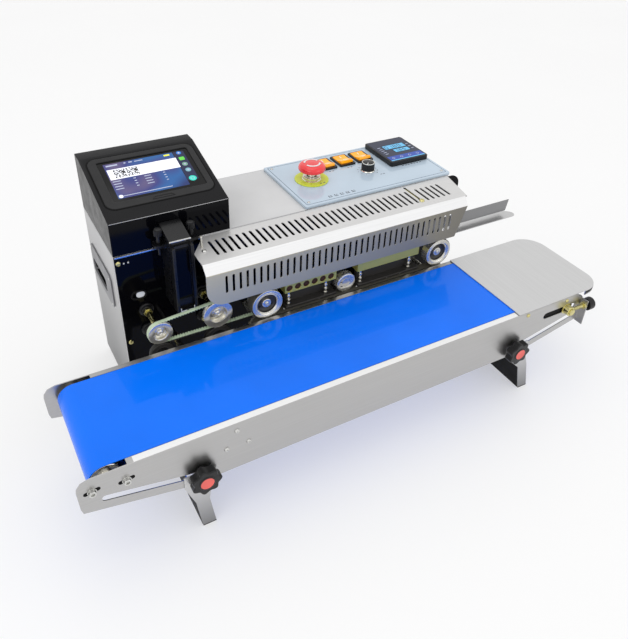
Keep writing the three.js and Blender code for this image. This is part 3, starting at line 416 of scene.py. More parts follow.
def inside(low, high, inset, r):
    """The rounded outline inside a box seen from above."""
    return rounded(low.x + inset, low.y + inset, high.x - inset, high.y - inset, r)


def capsule(u0, v0, u1, v1, half, steps=8):
    along = math.degrees(math.atan2(v1 - v0, u1 - u0))
    head = arc(u1, v1, half, along - 90, along + 90, steps)
    return head + arc(u0, v0, half, along + 90, along + 270, steps)


def corner_places(u0, v0, u1, v1, inset):
    return [(u, v) for u in (u0 + inset, u1 - inset) for v in (v0 + inset, v1 - inset)]


def loop_path(wheels, distance, steps=40):
    """The closed line that a belt takes round (x, z, r) wheels, listed anticlockwise."""
    count = len(wheels)
    leave = []
    for i, (x, z, r) in enumerate(wheels):
        nx, nz, nr = wheels[(i + 1) % count]
        heading = math.atan2(nz - z, nx - x)
        leave.append(heading - math.acos((r - nr) / math.hypot(nx - x, nz - z)))
    points = []
    for i, (x, z, r) in enumerate(wheels):
        start, end = leave[i - 1], leave[i]
        while end < start:
            end += 2 * math.pi
        points += arc(x, z, r + distance, math.degrees(start), math.degrees(end), steps)
    return points


# ---------------------------------------------------------------- shapes, as (vertices, faces)

AXES = {
    "x": lambda u, v, w: (w, u, v),
    "y": lambda u, v, w: (u, w, v),
    "z": lambda u, v, w: (u, v, w),
}


def prism(outline, axis, low, high):
    """An outline extruded along an axis: it lies in y and z, x and z, or x and y."""
    count = len(outline)
    spot = AXES[axis]
    vertices = [spot(u, v, low) for u, v in outline] + [spot(u, v, high) for u, v in outline]
    sides = [(i, (i + 1) % count, (i + 1) % count + count, i + count) for i in range(count)]
    return vertices, sides + [tuple(range(count))[::-1], tuple(range(count, 2 * count))]


def ring(outer, inner, axis, low, high):
    """The space between two outlines with as many points each, extruded along an axis."""
    count = len(outer)
    spot = AXES[axis]
    vertices = []
    for outline, w in ((outer, low), (outer, high), (inner, high), (inner, low)):
        vertices += [spot(u, v, w) for u, v in outline]
    faces = []
    for layer in range(4):
        a, b = layer * count, ((layer + 1) % 4) * count
        faces += [(a + i, a + (i + 1) % count, b + (i + 1) % count, b + i) for i in range(count)]
    return vertices, faces


def block(x0, y0, z0, x1, y1, z1):
    return prism([(x0, y0), (x1, y0), (x1, y1), (x0, y1)], "z", z0, z1)


def lathe(u, v, profile, axis="y", steps=72, base=0.0):
    """A turned piece about a line through (u, v), from (radius, place along it from base) pairs."""
    spot = AXES[axis]
    vertices, rows = [], []
    for r, w in profile:
        first = len(vertices)
        rows.append([first + i for i in range(steps)] if r > 0 else [first] * steps)
        outline = circle(u, v, r, steps) if r > 0 else [(u, v)]
        vertices += [spot(a, b, base + w) for a, b in outline]
    faces = []
    for near, far in zip(rows, rows[1:]):
        for i in range(steps):
            k = (i + 1) % steps
            face = tuple(dict.fromkeys([near[i], near[k], far[k], far[i]]))
            if len(face) > 2:
                faces.append(face)
    return vertices, faces


def rod(u, v, r, low, high, axis="y", steps=72):
    return lathe(u, v, [(0, low), (r, low), (r, high), (0, high)], axis, steps)


def merged(*shapes):
    vertices, faces = [], []
    for more_vertices, more_faces in shapes:
        base = len(vertices)
        vertices += more_vertices
        faces += [tuple(base + i for i in face) for face in more_faces]
    return vertices, faces


def moved(shape, matrix):
    return [tuple(matrix @ Vector(v)) for v in shape[0]], shape[1]


def to_mesh(name, shape, material):
    mesh = bpy.data.meshes.new(name)
    mesh.from_pydata([Vector(v) * MM + ORIGIN for v in shape[0]], [], shape[1])
    work = bmesh.new()
    work.from_mesh(mesh)
    bmesh.ops.recalc_face_normals(work, faces=work.faces)
    work.to_mesh(mesh)
    work.free()
    mesh.materials.append(material)
    return mesh


def piece(name, shape, material, body=ROOT, edge=PIECE_EDGE, replaces=(), carve=()):
    """A new object that rides on a CAD body, with each shape in carve cut out of it in turn."""
    obj = bpy.data.objects.new(name, to_mesh(name, shape, material))
    bpy.context.scene.collection.objects.link(obj)
    for cutter in carve:
        tool = bpy.data.objects.new(name + "_tool", to_mesh(name + "_tool", cutter, material))
        bpy.context.scene.collection.objects.link(tool)
        boolean = obj.modifiers.new("cut", "BOOLEAN")
        boolean.operation = "DIFFERENCE"
        boolean.solver = "EXACT"
        boolean.object = tool
        bpy.context.view_layer.update()
        solid = obj.evaluated_get(bpy.context.evaluated_depsgraph_get())
        cut_mesh = bpy.data.meshes.new_from_object(solid)
        obj.modifiers.clear()
        obj.data = cut_mesh
        bpy.data.objects.remove(tool)
    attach(obj, body)
    finish_edges(obj, edge)
    if replaces:
        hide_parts(*replaces)
    return obj


# ---------------------------------------------------------------- fasteners

# Rise over radius, steps round, and the profile as shares of the radius and of the rise.
HEADS = {
    "cross": (0.55, 20, [(0, 0), (1, 0), (1, 0.25), (0.85, 0.75), (0.5, 1), (0.28, 1), (0.2, 0.35),
                         (0, 0.35)]),
    "socket": (1, 24, [(0, 0), (1, 0), (1, 0.9), (0.9, 1), (0.5, 1), (0.5, 0.4), (0, 0.4)]),
}


def hexagon(u, v, r, low, high, axis):
    return prism(circle(u, v, r, 6), axis, low, high)


def screws(name, places, r, seat, out, axis, material=SCREW_STEEL, head="cross"):
    """Screw heads on a face at seat; out is 1 or -1, the way they face along the axis."""
    rise, steps, shares = HEADS[head]
    profile = [(r * wide, seat + out * high * rise * r) for wide, high in shares]
    heads = [lathe(u, v, profile, axis, steps) for u, v in places]
    return piece(name, merged(*heads), material, edge=SCREW_EDGE)


# ---------------------------------------------------------------- conveyor

BELT_LOW, BELT_HIGH = span("conveyor_belt")
ROLLERS = {
    "discharge_roller": "discharge",
    "conveyor_drive_roller": "conveyor_drive",
    "infeed_roller": "infeed",
}
KNOB_LOBES = 7
KNOB_STEPS = 126
KNOB_REACH = 20
KNOB_RADIUS = 18.1
KNOB_WAVE = 1.8


def conveyor_belt():
    wheels = [wheel_of(node) for node in ROLLERS]
    thickness = BELT_HIGH.z - wheels[0][1] - wheels[0][2] - RUNNING_GAP
    outer = loop_path(wheels, RUNNING_GAP + thickness)
    inner = loop_path(wheels, RUNNING_GAP)
    belt = ring(outer, inner, "y", BELT_LOW.y, BELT_HIGH.y)
    piece("belt_surface", belt, BLUE_BELT, edge=0.4, replaces=["conveyor_belt"])


def rollers():
    for node, body in ROLLERS.items():
        x, z, r = wheel_of(node)
        low, high = span(node)
        near, far = BELT_LOW.y + 0.8, BELT_HIGH.y - 0.8
        end = [(5, 0), (9, 0), (9, 3), (16, 3), (17, 0), (r - 0.8, 0), (r, 0.8)]
        profile = [(0, low.y), (4.2, low.y), (5, low.y + 0.8)]
        profile += [(a, near + b) for a, b in end] + [(a, far - b) for a, b in reversed(end)]
        profile += [(5, high.y), (0, high.y)]
        piece(body + "_drum", lathe(x, z, profile), BRIGHT, body, 0.2, [node])


def knob_axis(side):
    """Where the clamping bolt's axis meets the rail: one lobe of the knob points along +X."""
    low, high = span(side + "_star_knob")
    return high.x - KNOB_REACH, (low.z + high.z) / 2


def star_knobs():
    waves = [math.cos(2 * math.pi * KNOB_LOBES * i / KNOB_STEPS) for i in range(KNOB_STEPS)]
    for side in ("left", "right"):
        node, body = side + "_star_knob", side + "_clamp"
        front = span(node)[0].y
        x, z = knob_axis(side)
        outline = polar(x, z, [KNOB_RADIUS + KNOB_WAVE * wave for wave in waves])
        grip = prism(outline, "y", front + 1.4, -3.4)
        knob = piece(side + "_knob_grip", grip, BLACK, body, 1.6, [node])
        knob.modifiers["edge"].segments = 4
        hub = [(0, -2.2), (8.2, -2.2), (11, -6), (11, front + 1), (9.6, front + 0.6), (0, front + 0.6)]
        piece(side + "_knob_hub", lathe(x, z, hub), BLACK, body, 0.5)
        cap = [(0, 2), (9, 2), (9, 0.9), (8.3, 0.3), (6.9, 0.3), (6.6, 0.5), (0, 0.5)]
        piece(side + "_knob_cap", lathe(x, z, cap, base=front), SALMON, body, 0.1)
        piece(side + "_knob_bolt", rod(x, z, 3.8, -2.4, 8, steps=32), SCREW_STEEL, body, 0.2)


def leg_painted_shades():
    """Painted shade on the legs: a nearly black sheet over each leg's cross web, and a dark line along its
    foot.
    """
    foot_width, foot_top, web_low, web_top, skin = 18, 1.3, 0.6, 78.6, 0.25
    for side, strip, lean in (("left", -18, 13), ("right", 10, 25)):
        x, z = knob_axis(side)
        low, high = span(side + "_leg")

        def at(offset, height):
            return x + offset + (z - height) / z * lean

        web = [(at(strip, web_low) - skin, web_low), (at(strip, web_low), web_low),
               (at(strip, web_top), web_top), (at(strip, web_top) - skin, web_top)]
        foot = [(at(strip, 0), 0.1), (at(strip + foot_width, 0), 0.1),
                (at(strip + foot_width, foot_top), foot_top), (at(strip, foot_top), foot_top)]
        for name, outline, front, back in (("web_painted_shade", web, low.y + 1.6, high.y - 1.6),
                                           ("foot_painted_shade", foot, low.y - 0.15, low.y + 0.3)):
            skin_shape = prism(outline, "y", front, back)
            piece(f"{side}_leg_{name}", skin_shape, SHADOW_BLACK, side + "_stand", 0)


def conveyor_fasteners():
    x, z, _ = wheel_of("conveyor_drive_roller")
    triangle = [(x, z + 16.8), (x + 15.2, z - 9), (x - 14.3, z - 8.7)]
    screws("drive_bearing_screws", triangle, 3.4, 0, -1, "y")
    x, z, _ = wheel_of("discharge_roller")
    ends = [(x - 19.6, z + 0.4), (x + 19, z - 2)]
    # The end bolts sit in short slots, drawn as flat near-black capsules: painted shadow.
    slots = [prism(capsule(u - 7, v - 1, u + 7, v + 1.4, 2.7), "y", -0.2, 0.4) for u, v in ends]
    piece("roller_end_slot_shadows", merged(*slots), SHADOW_BLACK, edge=0)
    washers = [ring(circle(u, v, 5.4, 32), circle(u, v, 2.4, 32), "y", -0.8, 0) for u, v in ends]
    piece("roller_end_washers", merged(*washers), SCREW_STEEL, edge=0.15)
    screws("roller_end_bolts", ends, 4.4, -0.8, -1, "y", head="socket")
    flange = span("conveyor_front_rail")[1].z
    # A pale strip along the front rail's flange: painted highlight.
    shine = block(66, 0.7, flange - 0.1, 646, 9.6, flange + 0.12)
    piece("rail_flange_shine", shine, GUARD_BEVEL, edge=0)
    rear_top = span("conveyor_rear_rail")[1]
    dots = [(u, rear_top.y - 3.6) for u in (344, 403, 470, 526, 552)]
    screws("rear_flange_screws", dots, 1.6, rear_top.z, 1, "z")
    screws("table_screws", [(666.6, 155.8), (748, 156)], 3.2, 0, -1, "y", BRASS_BRIGHT)


def table_skirt():
    """Painted shade below the infeed table's folded rim: a thin dark band round its right end."""
    low, high = span("infeed_table")
    start, r = 787.5, 32

    def rim(out):
        near_corner = arc(high.x - r, low.y + r, r + out, 270, 360, 20)
        far_corner = arc(high.x - r, high.y - r, r + out, 0, 90, 20)
        return [(start, low.y - out)] + near_corner + far_corner + [(start, high.y + out)]

    shade = prism(rim(0.25) + rim(-0.6)[::-1], "z", high.z - 7.4, high.z - 2)
    piece("table_skirt_shade", shade, SKIRT_SHADE, edge=0)


def tensioner():
    """Threaded rod with a knurled knob, its nut block in the slot and the lock nut at the lip."""
    low, high = span("tension_screw")
    _, y, z = centre("tension_screw")
    knob_from = high.x - 11
    knob = prism(polar(y, z, (9.8, 10.4) * 40), "x", knob_from, high.x)
    piece("tension_knob", knob, BLACK, "tensioner", 0.5, ["tension_screw"])
    turns, pitch, crest, root = 16, 1.0, 3, 2.6
    profile = [(0, low.x)]
    for i in range(turns):
        profile += [(crest, low.x + i * pitch), (root, low.x + (i + 0.5) * pitch)]
    profile += [(crest, low.x + turns * pitch), (crest, knob_from), (0, knob_from)]
    piece("tension_rod", lathe(y, z, profile, "x", 32), BRASS_BRIGHT, "tensioner", 0)
    nut = hexagon(y, z, 6.4, high.x - 18, high.x - 13.5, "x")
    piece("tension_nut", nut, BRASS_BRIGHT, "tensioner")
    x = wheel_of("infeed_roller")[0]
    # A flat near-black plate behind the slot, with a hole for the shaft: painted shadow seen through the
    # slot.
    backing = prism(capsule(712, z, 758, z, 7), "y", 1.7, 2.2)
    piece("tension_slot_shadow", backing, SHADOW_BLACK, edge=0, carve=[rod(x, z, 5.6, 1, 3)])
    seat = [(5.4, -0.9), (9.4, -0.9), (9.4, 0), (5.4, 0), (5.4, -0.9)]
    piece("shaft_washer", lathe(x, z, seat), BRASS_BRIGHT, edge=0.15)
    drum = [(0, -10.6), (7.2, -10.6), (7.8, -10), (7.8, -1), (0, -1)]
    bores = [rod(y, z, 3.5, x, x + 20, "x", 32), rod(x, z, 5.3, -5, 2)]
    piece("shaft_block", lathe(x, z, drum), BRASS_BRIGHT, carve=bores)
    piece("shaft_nut", hexagon(x, z, 5.6, -13.6, -10.4, "y"), BRASS_BRIGHT, edge=0.4)


# ---------------------------------------------------------------- casing

CASE_LOW, CASE_HIGH = span("casing_shell")
PLATE_LOW, PLATE_HIGH = span("front_plate")
HOOD_LOW, HOOD_HIGH = span("printer_hood")
COVER_BACK = span("rear_cover")[1].y
PLATE_FRONT = PLATE_LOW.y
CASE_SIDES = (("left", CASE_LOW.x, -1), ("right", CASE_HIGH.x, 1))


def casing_fasteners():
    screws("plate_screws", [(132.6, 261), (134, 125)], 3.6, PLATE_FRONT, -1, "y", BRASS_BRIGHT)
    screws("plate_small_screws", [(140, 259.5), (146, 259.5)], 1.5, PLATE_FRONT, -1, "y")
    screws("plate_earth_bolt", [(200, 113)], 3.8, PLATE_FRONT, -1, "y", COPPER, "socket")
    for side, wall, out in CASE_SIDES:
        low, high = span(side + "_handle_cup")
        places = corner_places(low.y, low.z, high.y, high.z, 6)
        screws(side + "_handle_screws", places, 1.7, wall + out * 2, out, "x")
    rows = [CASE_LOW.z + 12, (CASE_LOW.z + CASE_HIGH.z) / 2, CASE_HIGH.z - 12]
    columns = [CASE_LOW.x + 12, (CASE_LOW.x + CASE_HIGH.x) / 2, CASE_HIGH.x - 12]
    places = [(u, v) for u in columns for v in rows if (u, v) != (columns[1], rows[1])]
    screws("rear_cover_screws", places, 3.2, COVER_BACK - 0.2, 1, "y")
    places = [(u, CASE_LOW.z + 14) for u in (PLATE_LOW.x + 7, CASE_HIGH.x - 7)]
    screws("base_screws", places, 3, PLATE_FRONT, -1, "y")


def plate_openings():
    """The oval look-in hole with its rim, and a painted highlight: a thin bright strip along the plate's top
    edge.
    """
    z = 203
    outer, inner = capsule(150, z, 158, z, 7.2), capsule(150, z, 158, z, 4.9)
    piece("look_in_rim", ring(outer, inner, "y", PLATE_FRONT - 1.2, PLATE_FRONT), BLACK)
    lens = prism(capsule(155, z, 158, z, 4.6), "y", PLATE_FRONT - 0.4, PLATE_FRONT + 1)
    piece("look_in_lens", lens, LAMP_WHITE, edge=0)
    strip = block(PLATE_LOW.x + 1, PLATE_FRONT - 0.2, PLATE_HIGH.z - 1.2,
                  HOOD_HIGH.x - 2, PLATE_FRONT + 1, PLATE_HIGH.z + 0.9)
    piece("plate_top_highlight", strip, BRIGHT, edge=0.2)


def side_skins():
    """The casing's end faces with painted shade, darker towards the floor, and a near-black sheet of painted
    shadow in each hand grip.
    """
    outline = rounded(CASE_LOW.y + 2.6, CASE_LOW.z + 0.4, CASE_HIGH.y - 2.6, CASE_HIGH.z - 1, 1, 2)
    grip = rounded(308.3, 174.3, 377.7, 196.7, 3), rounded(309, 175, 377, 196, 3)
    for side, x, out in CASE_SIDES:
        low, high = span(side + "_handle_cup")
        frame_outline = rounded(low.y - 0.5, low.z - 0.5, high.y + 0.5, high.z + 0.5, 3)
        skin = prism(outline, "x", x - out * 0.1, x + out * 0.2)
        opening = prism(frame_outline, "x", x - 2, x + 2)
        piece(side + "_side_skin", skin, SIDE_STEEL, edge=0, carve=[opening])
        shade_lining = ring(*grip, "x", x - out * 0.6, x - out * 20)
        piece(side + "_grip_lining", shade_lining, SHADOW_BLACK, edge=0)


def power_inlet():
    """A three-pin socket in the rear cover's opening. No lead is shown."""
    x, z, back = 190, 50, COVER_BACK
    cup_outline = pane(x, z, 13.5, 9.5, 3)
    flange = ring(pane(x, z, 24, 15, 4), pane(x, z, 13.4, 9.4, 3), "y", back - 0.4, back + 2)
    piece("inlet_flange", flange, MATTE_BLACK, edge=0.5)
    cup = ring(cup_outline, pane(x, z, 11.5, 7.5, 3), "y", back - 16, back + 1.6)
    floor = prism(cup_outline, "y", back - 17.5, back - 15.5)
    piece("inlet_cup", merged(cup, floor), MATTE_BLACK, edge=0.2)
    pins = [block(u - 1.2, back - 15.6, v - 2.2, u + 1.2, back - 2, v + 2.2)
            for u, v in ((x - 7, z - 1.8), (x + 7, z - 1.8), (x, z + 2.4))]
    piece("inlet_pins", merged(*pins), BRASS_BRIGHT)
    screws("inlet_screws", [(x - 19, z), (x + 19, z)], 2.4, back + 2, 1, "y")


# ---------------------------------------------------------------- printer

HOOD_FRONT_TOP = 322
HOOD_RIDGE_Y = 376
HOOD_TILT = math.atan2(HOOD_HIGH.z - HOOD_FRONT_TOP, HOOD_RIDGE_Y - HOOD_LOW.y)
HOOD_CORNER = Matrix.Translation((0, HOOD_LOW.y, HOOD_FRONT_TOP))
ON_HOOD = HOOD_CORNER @ Matrix.Rotation(HOOD_TILT, 4, "X")
GLASS_TOP = -0.8
FIELD_TOP = GLASS_TOP + 0.1
INK_TOP = FIELD_TOP + 0.1


def up_slope(y):
    """Distance up the hood's slope of the place that lies at y."""
    return (y - HOOD_LOW.y) / math.cos(HOOD_TILT)


def on_hood(name, shapes, material, edge=0.0, replaces=()):
    """A piece whose outlines lie on the hood's slope, z being the height above it."""
    return piece(name, moved(merged(*shapes), ON_HOOD), material, ROOT, edge, replaces)


def screen_bezel():
    near, far = up_slope(268.6), up_slope(369.4)
    outer = rounded(134.6, near, 286.4, far, 13.4, 12)
    inner = rounded(147, up_slope(281), 277.5, up_slope(361), 3, 12)
    on_hood("screen_bezel", [ring(outer, inner, "z", -3.4, 1.0)], BEZEL, 1.0, ["touch_screen"])
    # A flat dark ring round the bezel where its groove lies: painted shadow.
    groove = rounded(132.6, near - 2, 288.4, far + 2, 15, 12)
    on_hood("screen_groove_shadow", [ring(groove, outer, "z", -0.5, 0.12)], SHADOW_BLACK)
    glass = rounded(146.6, up_slope(280.6), 277.9, up_slope(361.4), 3.2)
    on_hood("screen_glass", [prism(glass, "z", -3.4, GLASS_TOP)], GLASS_BLACK, 0.2)
    latch = [(196, near + 3.6), (228, near + 3.6), (224, near + 8.4), (200, near + 8.4)]
    inset = [(197.6, near + 4.4), (226.4, near + 4.4), (223.2, near + 7.6), (200.8, near + 7.6)]
    on_hood("bezel_latch_line", [ring(latch, inset, "z", 0.9, 1.3)], HOOD)


def screen_picture():
    """The lit display: a blue field, a white preview strip with a made-up pattern, bars and keys."""
    low_s, high_s = up_slope(287), up_slope(356.5)
    strip_low, strip_high = up_slope(324), up_slope(344.5)
    green, teal = up_slope(340.5), up_slope(298)
    under, over = GLASS_TOP - 0.2, FIELD_TOP - 0.1
    plates = (
        ("field", (155, low_s, 254.5, high_s), under, FIELD_TOP, 0.3, DISPLAY),
        ("side", (255, low_s + 8, 271, high_s), under, FIELD_TOP, 2, DISPLAY_DARK),
        ("strip", (156.5, strip_low, 255.5, strip_high), over, INK_TOP, 0.2, DISPLAY_WHITE),
        ("tag", (241, high_s - 5.4, 249.5, high_s - 2.4), over, INK_TOP, 0.4, DISPLAY_YELLOW),
        ("key_green", (259.6, green - 3.6, 267.4, green + 3.6), FIELD_TOP, INK_TOP, 1.2, DISPLAY_GREEN),
    )
    for name, corners, low, high, r, material in plates:
        on_hood("display_" + name, [prism(rounded(*corners, r, 3), "z", low, high)], material)
    discs = (
        ("corner", 159.4, low_s + 4, 3, 24, over, DISPLAY_WHITE),
        ("key_1", 263.5, up_slope(353), 3.6, 32, FIELD_TOP, DISPLAY_BLUE),
        ("key_2", 263.5, up_slope(328.5), 4, 32, FIELD_TOP, DISPLAY_SAGE),
        ("key_3", 263.5, up_slope(316), 4, 32, FIELD_TOP, DISPLAY_TEAL_GREY),
        ("key_teal", 263, teal, 5.4, 36, FIELD_TOP, DISPLAY_TEAL),
    )
    for name, x, s, r, steps, low, material in discs:
        on_hood("display_" + name, [prism(circle(x, s, r, steps), "z", low, INK_TOP)], material)
    cells, size, columns, rows = [], 1.3, 12, 13
    for left in (164.5, 182):
        for column in range(columns):
            for row in range(rows):
                # Plain arithmetic scatters the cells: they encode nothing.
                if (column * column * 7 + row * row * 3 + column * row * 5 + row) % 11 < 6:
                    x, s = left + column * size, strip_low + 2.2 + row * size
                    cells.append(block(x, s, INK_TOP - 0.1, x + size, s + size, INK_TOP + 0.08))
    on_hood("display_pattern", cells, DISPLAY_INK)
    bars = [(158, high_s - 5.6, 16, 2.6), (183, high_s - 4.6, 3, 2), (190, high_s - 4.6, 5, 2),
            (198, high_s - 4.6, 12, 1.4), (163, low_s + 3.4, 68, 1.2)]
    for line in range(4):
        s = strip_low - 4.6 - line * 5.2
        bars += [(x, s, width, 1.3) for x, width in ((157.5, 11), (186, 3.4), (201, 9.5), (228, 3))]
    dashes = [prism(rounded(x, s, x + w, s + h, 0.3, 3), "z", over, INK_TOP) for x, s, w, h in bars]
    on_hood("display_bars", dashes, DISPLAY_GREY)
    low, high = INK_TOP - 0.1, INK_TOP + 0.1
    marks = [ring(circle(263, teal, 2.9, 24), circle(263, teal, 2.2, 24), "z", low, high)]
    marks += [prism(circle(263.5, up_slope(y), 1.6, 12), "z", low, high) for y in (353, 328.5, 316)]
    on_hood("display_marks", marks, DISPLAY_GREY)


def hood_details():
    left, right, front, top = HOOD_LOW.x, HOOD_HIGH.x, HOOD_LOW.y, HOOD_FRONT_TOP
    gloss = rounded(left + 1.2, HOOD_LOW.z + 1, right - 1.2, top - 1.4, 0.6)
    piece("hood_front_gloss", prism(gloss, "y", front - 0.35, front + 0.2), BLACK_PLATE, edge=0.1)
    # A thin pale strip along the hood's top front edge: painted highlight.
    edge = block(left + 1, front - 0.1, top - 1.1, right - 1, front + 0.6, top - 0.2)
    piece("hood_edge_highlight", edge, EDGE_HIGHLIGHT, edge=0.2)
    slots = [block(right - 0.2, y, 290, right + 0.25, y + 2.4, 306) for y in range(340, 372, 6)]
    piece("hood_side_vents", merged(*slots), MATTE_BLACK, edge=0)
    screws("hood_side_screws", [(256, 280), (386, 280)], 2.4, right, 1, "x", BLACK)
    places = corner_places(left, HOOD_LOW.z, right, HOOD_HIGH.z, 10)
    screws("hood_back_screws", places, 2.4, HOOD_HIGH.y, 1, "y", BLACK)


def cartridge_details():
    body = "printer_carriage"
    x0, x1 = 192.4, 221.5
    corner = span("print_cartridge")[0]
    front, low = corner.y, corner.z
    rails = [block(a, front - 0.3, low + 4, b, front + 1.4, 293)
             for a, b in ((x0 - 0.2, x0 + 1), (x1 - 1, x1 + 0.2))]
    piece("cartridge_rails", merged(*rails), BEZEL, body, 0.2)
    marks = []
    for x, inward in ((x0 + 5, 8), (x1 - 5, -8)):
        marks.append(block(x, front - 0.35, low + 3, x + inward, front + 0.4, low + 3.9))
        marks.append(block(x - 0.45, front - 0.35, low + 3, x + 0.45, front + 0.4, low + 8.5))
    piece("cartridge_corner_marks", merged(*marks), MARK_WHITE, body, 0)
    back = block(x0 + 5, front + 5.4, low + 20, x1 - 5, front + 6.6, 290)
    piece("cartridge_back", back, BLACK_PLATE, body, 0.4)
    lip = block(x0 - 0.3, 204.6, 298.6, x1 + 0.3, 206.4, 300.6)
    piece("cartridge_lid_edge", lip, SCREW_STEEL, body, 0.4)


def thumb_screws():
    for side in ("left", "right"):
        node, body = "cartridge_screw_" + side, "thumbscrew_" + side
        bottom, top = (corner.z for corner in span(node))
        x, y, _ = centre(node)
        neck = top - 10
        stem = [(0, bottom), (2.2, bottom), (2.5, bottom + 0.6), (2.5, neck - 10.9),
                (3.5, neck - 10.9), (3.5, neck), (0, neck)]
        stem_shape = lathe(x, y, stem, "z", 36)
        piece(node + "_stem", stem_shape, BLACK, body, 0.15, [node])
        knurl = prism(polar(x, y, (5.9, 5.9, 5.4, 5.4) * 18), "z", neck, top - 1.4)
        piece(node + "_grip", knurl, BLACK, body)
        cap = [(0, -1.6), (4.6, -1.6), (4.6, -0.6), (3.6, 0), (0, 0)]
        piece(node + "_cap", lathe(x, y, cap, "z", 36, top), BEZEL, body, 0.2)


# ---------------------------------------------------------------- control panel

PANEL_LOW, PANEL_HIGH = span("control_panel")
BEZEL_RISE = 3
PANEL_TOP = PANEL_HIGH.z - BEZEL_RISE
ROCKERS = {"rocker_1": "rocker_one", "rocker_2": "rocker_two", "rocker_3": "rocker_three"}
ROCKER_HALF_X, ROCKER_HALF_Y = 12, 16
ROCKER_TILT = math.radians(-8)
ROCKER_PIVOT = PANEL_TOP + 1.5


def panel_plate():
    low, high = PANEL_LOW, PANEL_HIGH
    holes = []
    for node in ROCKERS:
        x, y, _ = centre(node)
        holes.append(block(x - ROCKER_HALF_X, y - ROCKER_HALF_Y, low.z - 1,
                           x + ROCKER_HALF_X, y + ROCKER_HALF_Y, PANEL_TOP + 1))
    for node, r in (("speed_knob", 3.4), ("estop_collar", 8)):
        x, y, _ = centre(node)
        holes.append(prism(circle(x, y, r), "z", low.z - 1, PANEL_TOP + 1))
    plate = prism(inside(low, high, 0, 3), "z", low.z, PANEL_TOP)
    piece("panel_plate", plate, PANEL, ROOT, 0.7, ["control_panel"], [merged(*holes)])
    border = inside(low, high, 4.4, 3), inside(low, high, 5.5, 2.4)
    piece("panel_border", ring(*border, "z", PANEL_TOP - 0.3, PANEL_TOP + 0.06), PANEL_INK, edge=0)
    screws("panel_screws", corner_places(low.x, low.y, high.x, high.y, 10.5), 2.5, PANEL_TOP, 1, "z")


def panel_marks():
    """Plain dashes and dots where the real panel is printed: they are not letters."""
    low, high = PANEL_TOP - 0.3, PANEL_TOP + 0.05
    rows = [(465, 10.5, 5, 258, 6.4, 1.5), (465.5, 10.5, 5, 260.8, 2, 2.6),
            (469, 10.5, 5, 261.6, 2.4, 1.5), (633, 6, 7, 300.5, 3.6, 1.6), (582, 5, 2, 290, 3.4, 1.5)]
    rows += [(centre(node).x - 5, 6, 2, 334, 3, 1.4) for node in ROCKERS]
    marks = []
    for first, pitch, count, y, width, depth in rows:
        for x in (first + pitch * i for i in range(count)):
            marks.append(block(x, y, low, x + width, y + depth, high))
    x, y, _ = centre("speed_knob")
    for i, (u, v) in enumerate(arc(x, y, 16.5, 230, -50, 10)):
        marks.append(prism(circle(u, v, 0.55 + 0.06 * i, 12), "z", low, high))
    piece("panel_dashes", merged(*marks), PANEL_TEXT, edge=0)


def rocker_switches():
    """Black bezels, two-faced orange rockers with a bar and a ring on them, at rest in the off place."""
    half_x, half_y = ROCKER_HALF_X, ROCKER_HALF_Y
    reach, edge_z, middle_z = half_y - 1.6, PANEL_TOP + 6.4, PANEL_TOP + 4
    rise = edge_z - middle_z
    for node, body in ROCKERS.items():
        x, y, _ = centre(node)
        outer, inner = pane(x, y, half_x + 3, half_y + 3, 2.6), pane(x, y, half_x - 0.2, half_y - 0.2, 1)
        bezel = ring(outer, inner, "z", PANEL_TOP - 2, PANEL_TOP + BEZEL_RISE)
        piece(node + "_bezel", bezel, BLACK, edge=0.6)
        pivot = Matrix.Translation((0, y, ROCKER_PIVOT))
        turn = pivot @ Matrix.Rotation(ROCKER_TILT, 4, "X") @ pivot.inverted()
        foot, side_z = PANEL_LOW.z + 4.6, PANEL_TOP + 1.6
        section = [(y - 6, foot), (y + 6, foot), (y + half_y - 0.8, side_z), (y + reach, edge_z)]
        for i in range(1, 12):
            share = 1 - i / 6
            section.append((y + reach * share, middle_z + rise * abs(share) ** 1.3))
        section += [(y - reach, edge_z), (y - half_y + 0.8, side_z)]
        paddle = moved(prism(section, "x", x - half_x + 0.8, x + half_x - 0.8), turn)
        piece(node + "_paddle", paddle, ORANGE, body, 0.5, [node])
        bar = block(-0.6, -3, -0.6, 0.6, 3, 0.05)
        circle_mark = ring(circle(0, 0, 2.9, 32), circle(0, 0, 2, 32), "z", -0.6, 0.05)
        for name, flat, way in (("bar", bar, 1), ("ring", circle_mark, -1)):
            place = Matrix.Translation((x, y + way * reach * 0.52, middle_z + 0.52 * rise))
            lay = turn @ place @ Matrix.Rotation(way * math.atan2(rise, reach), 4, "X")
            piece(f"{node}_{name}", moved(flat, lay), MARK_WHITE, body, 0)


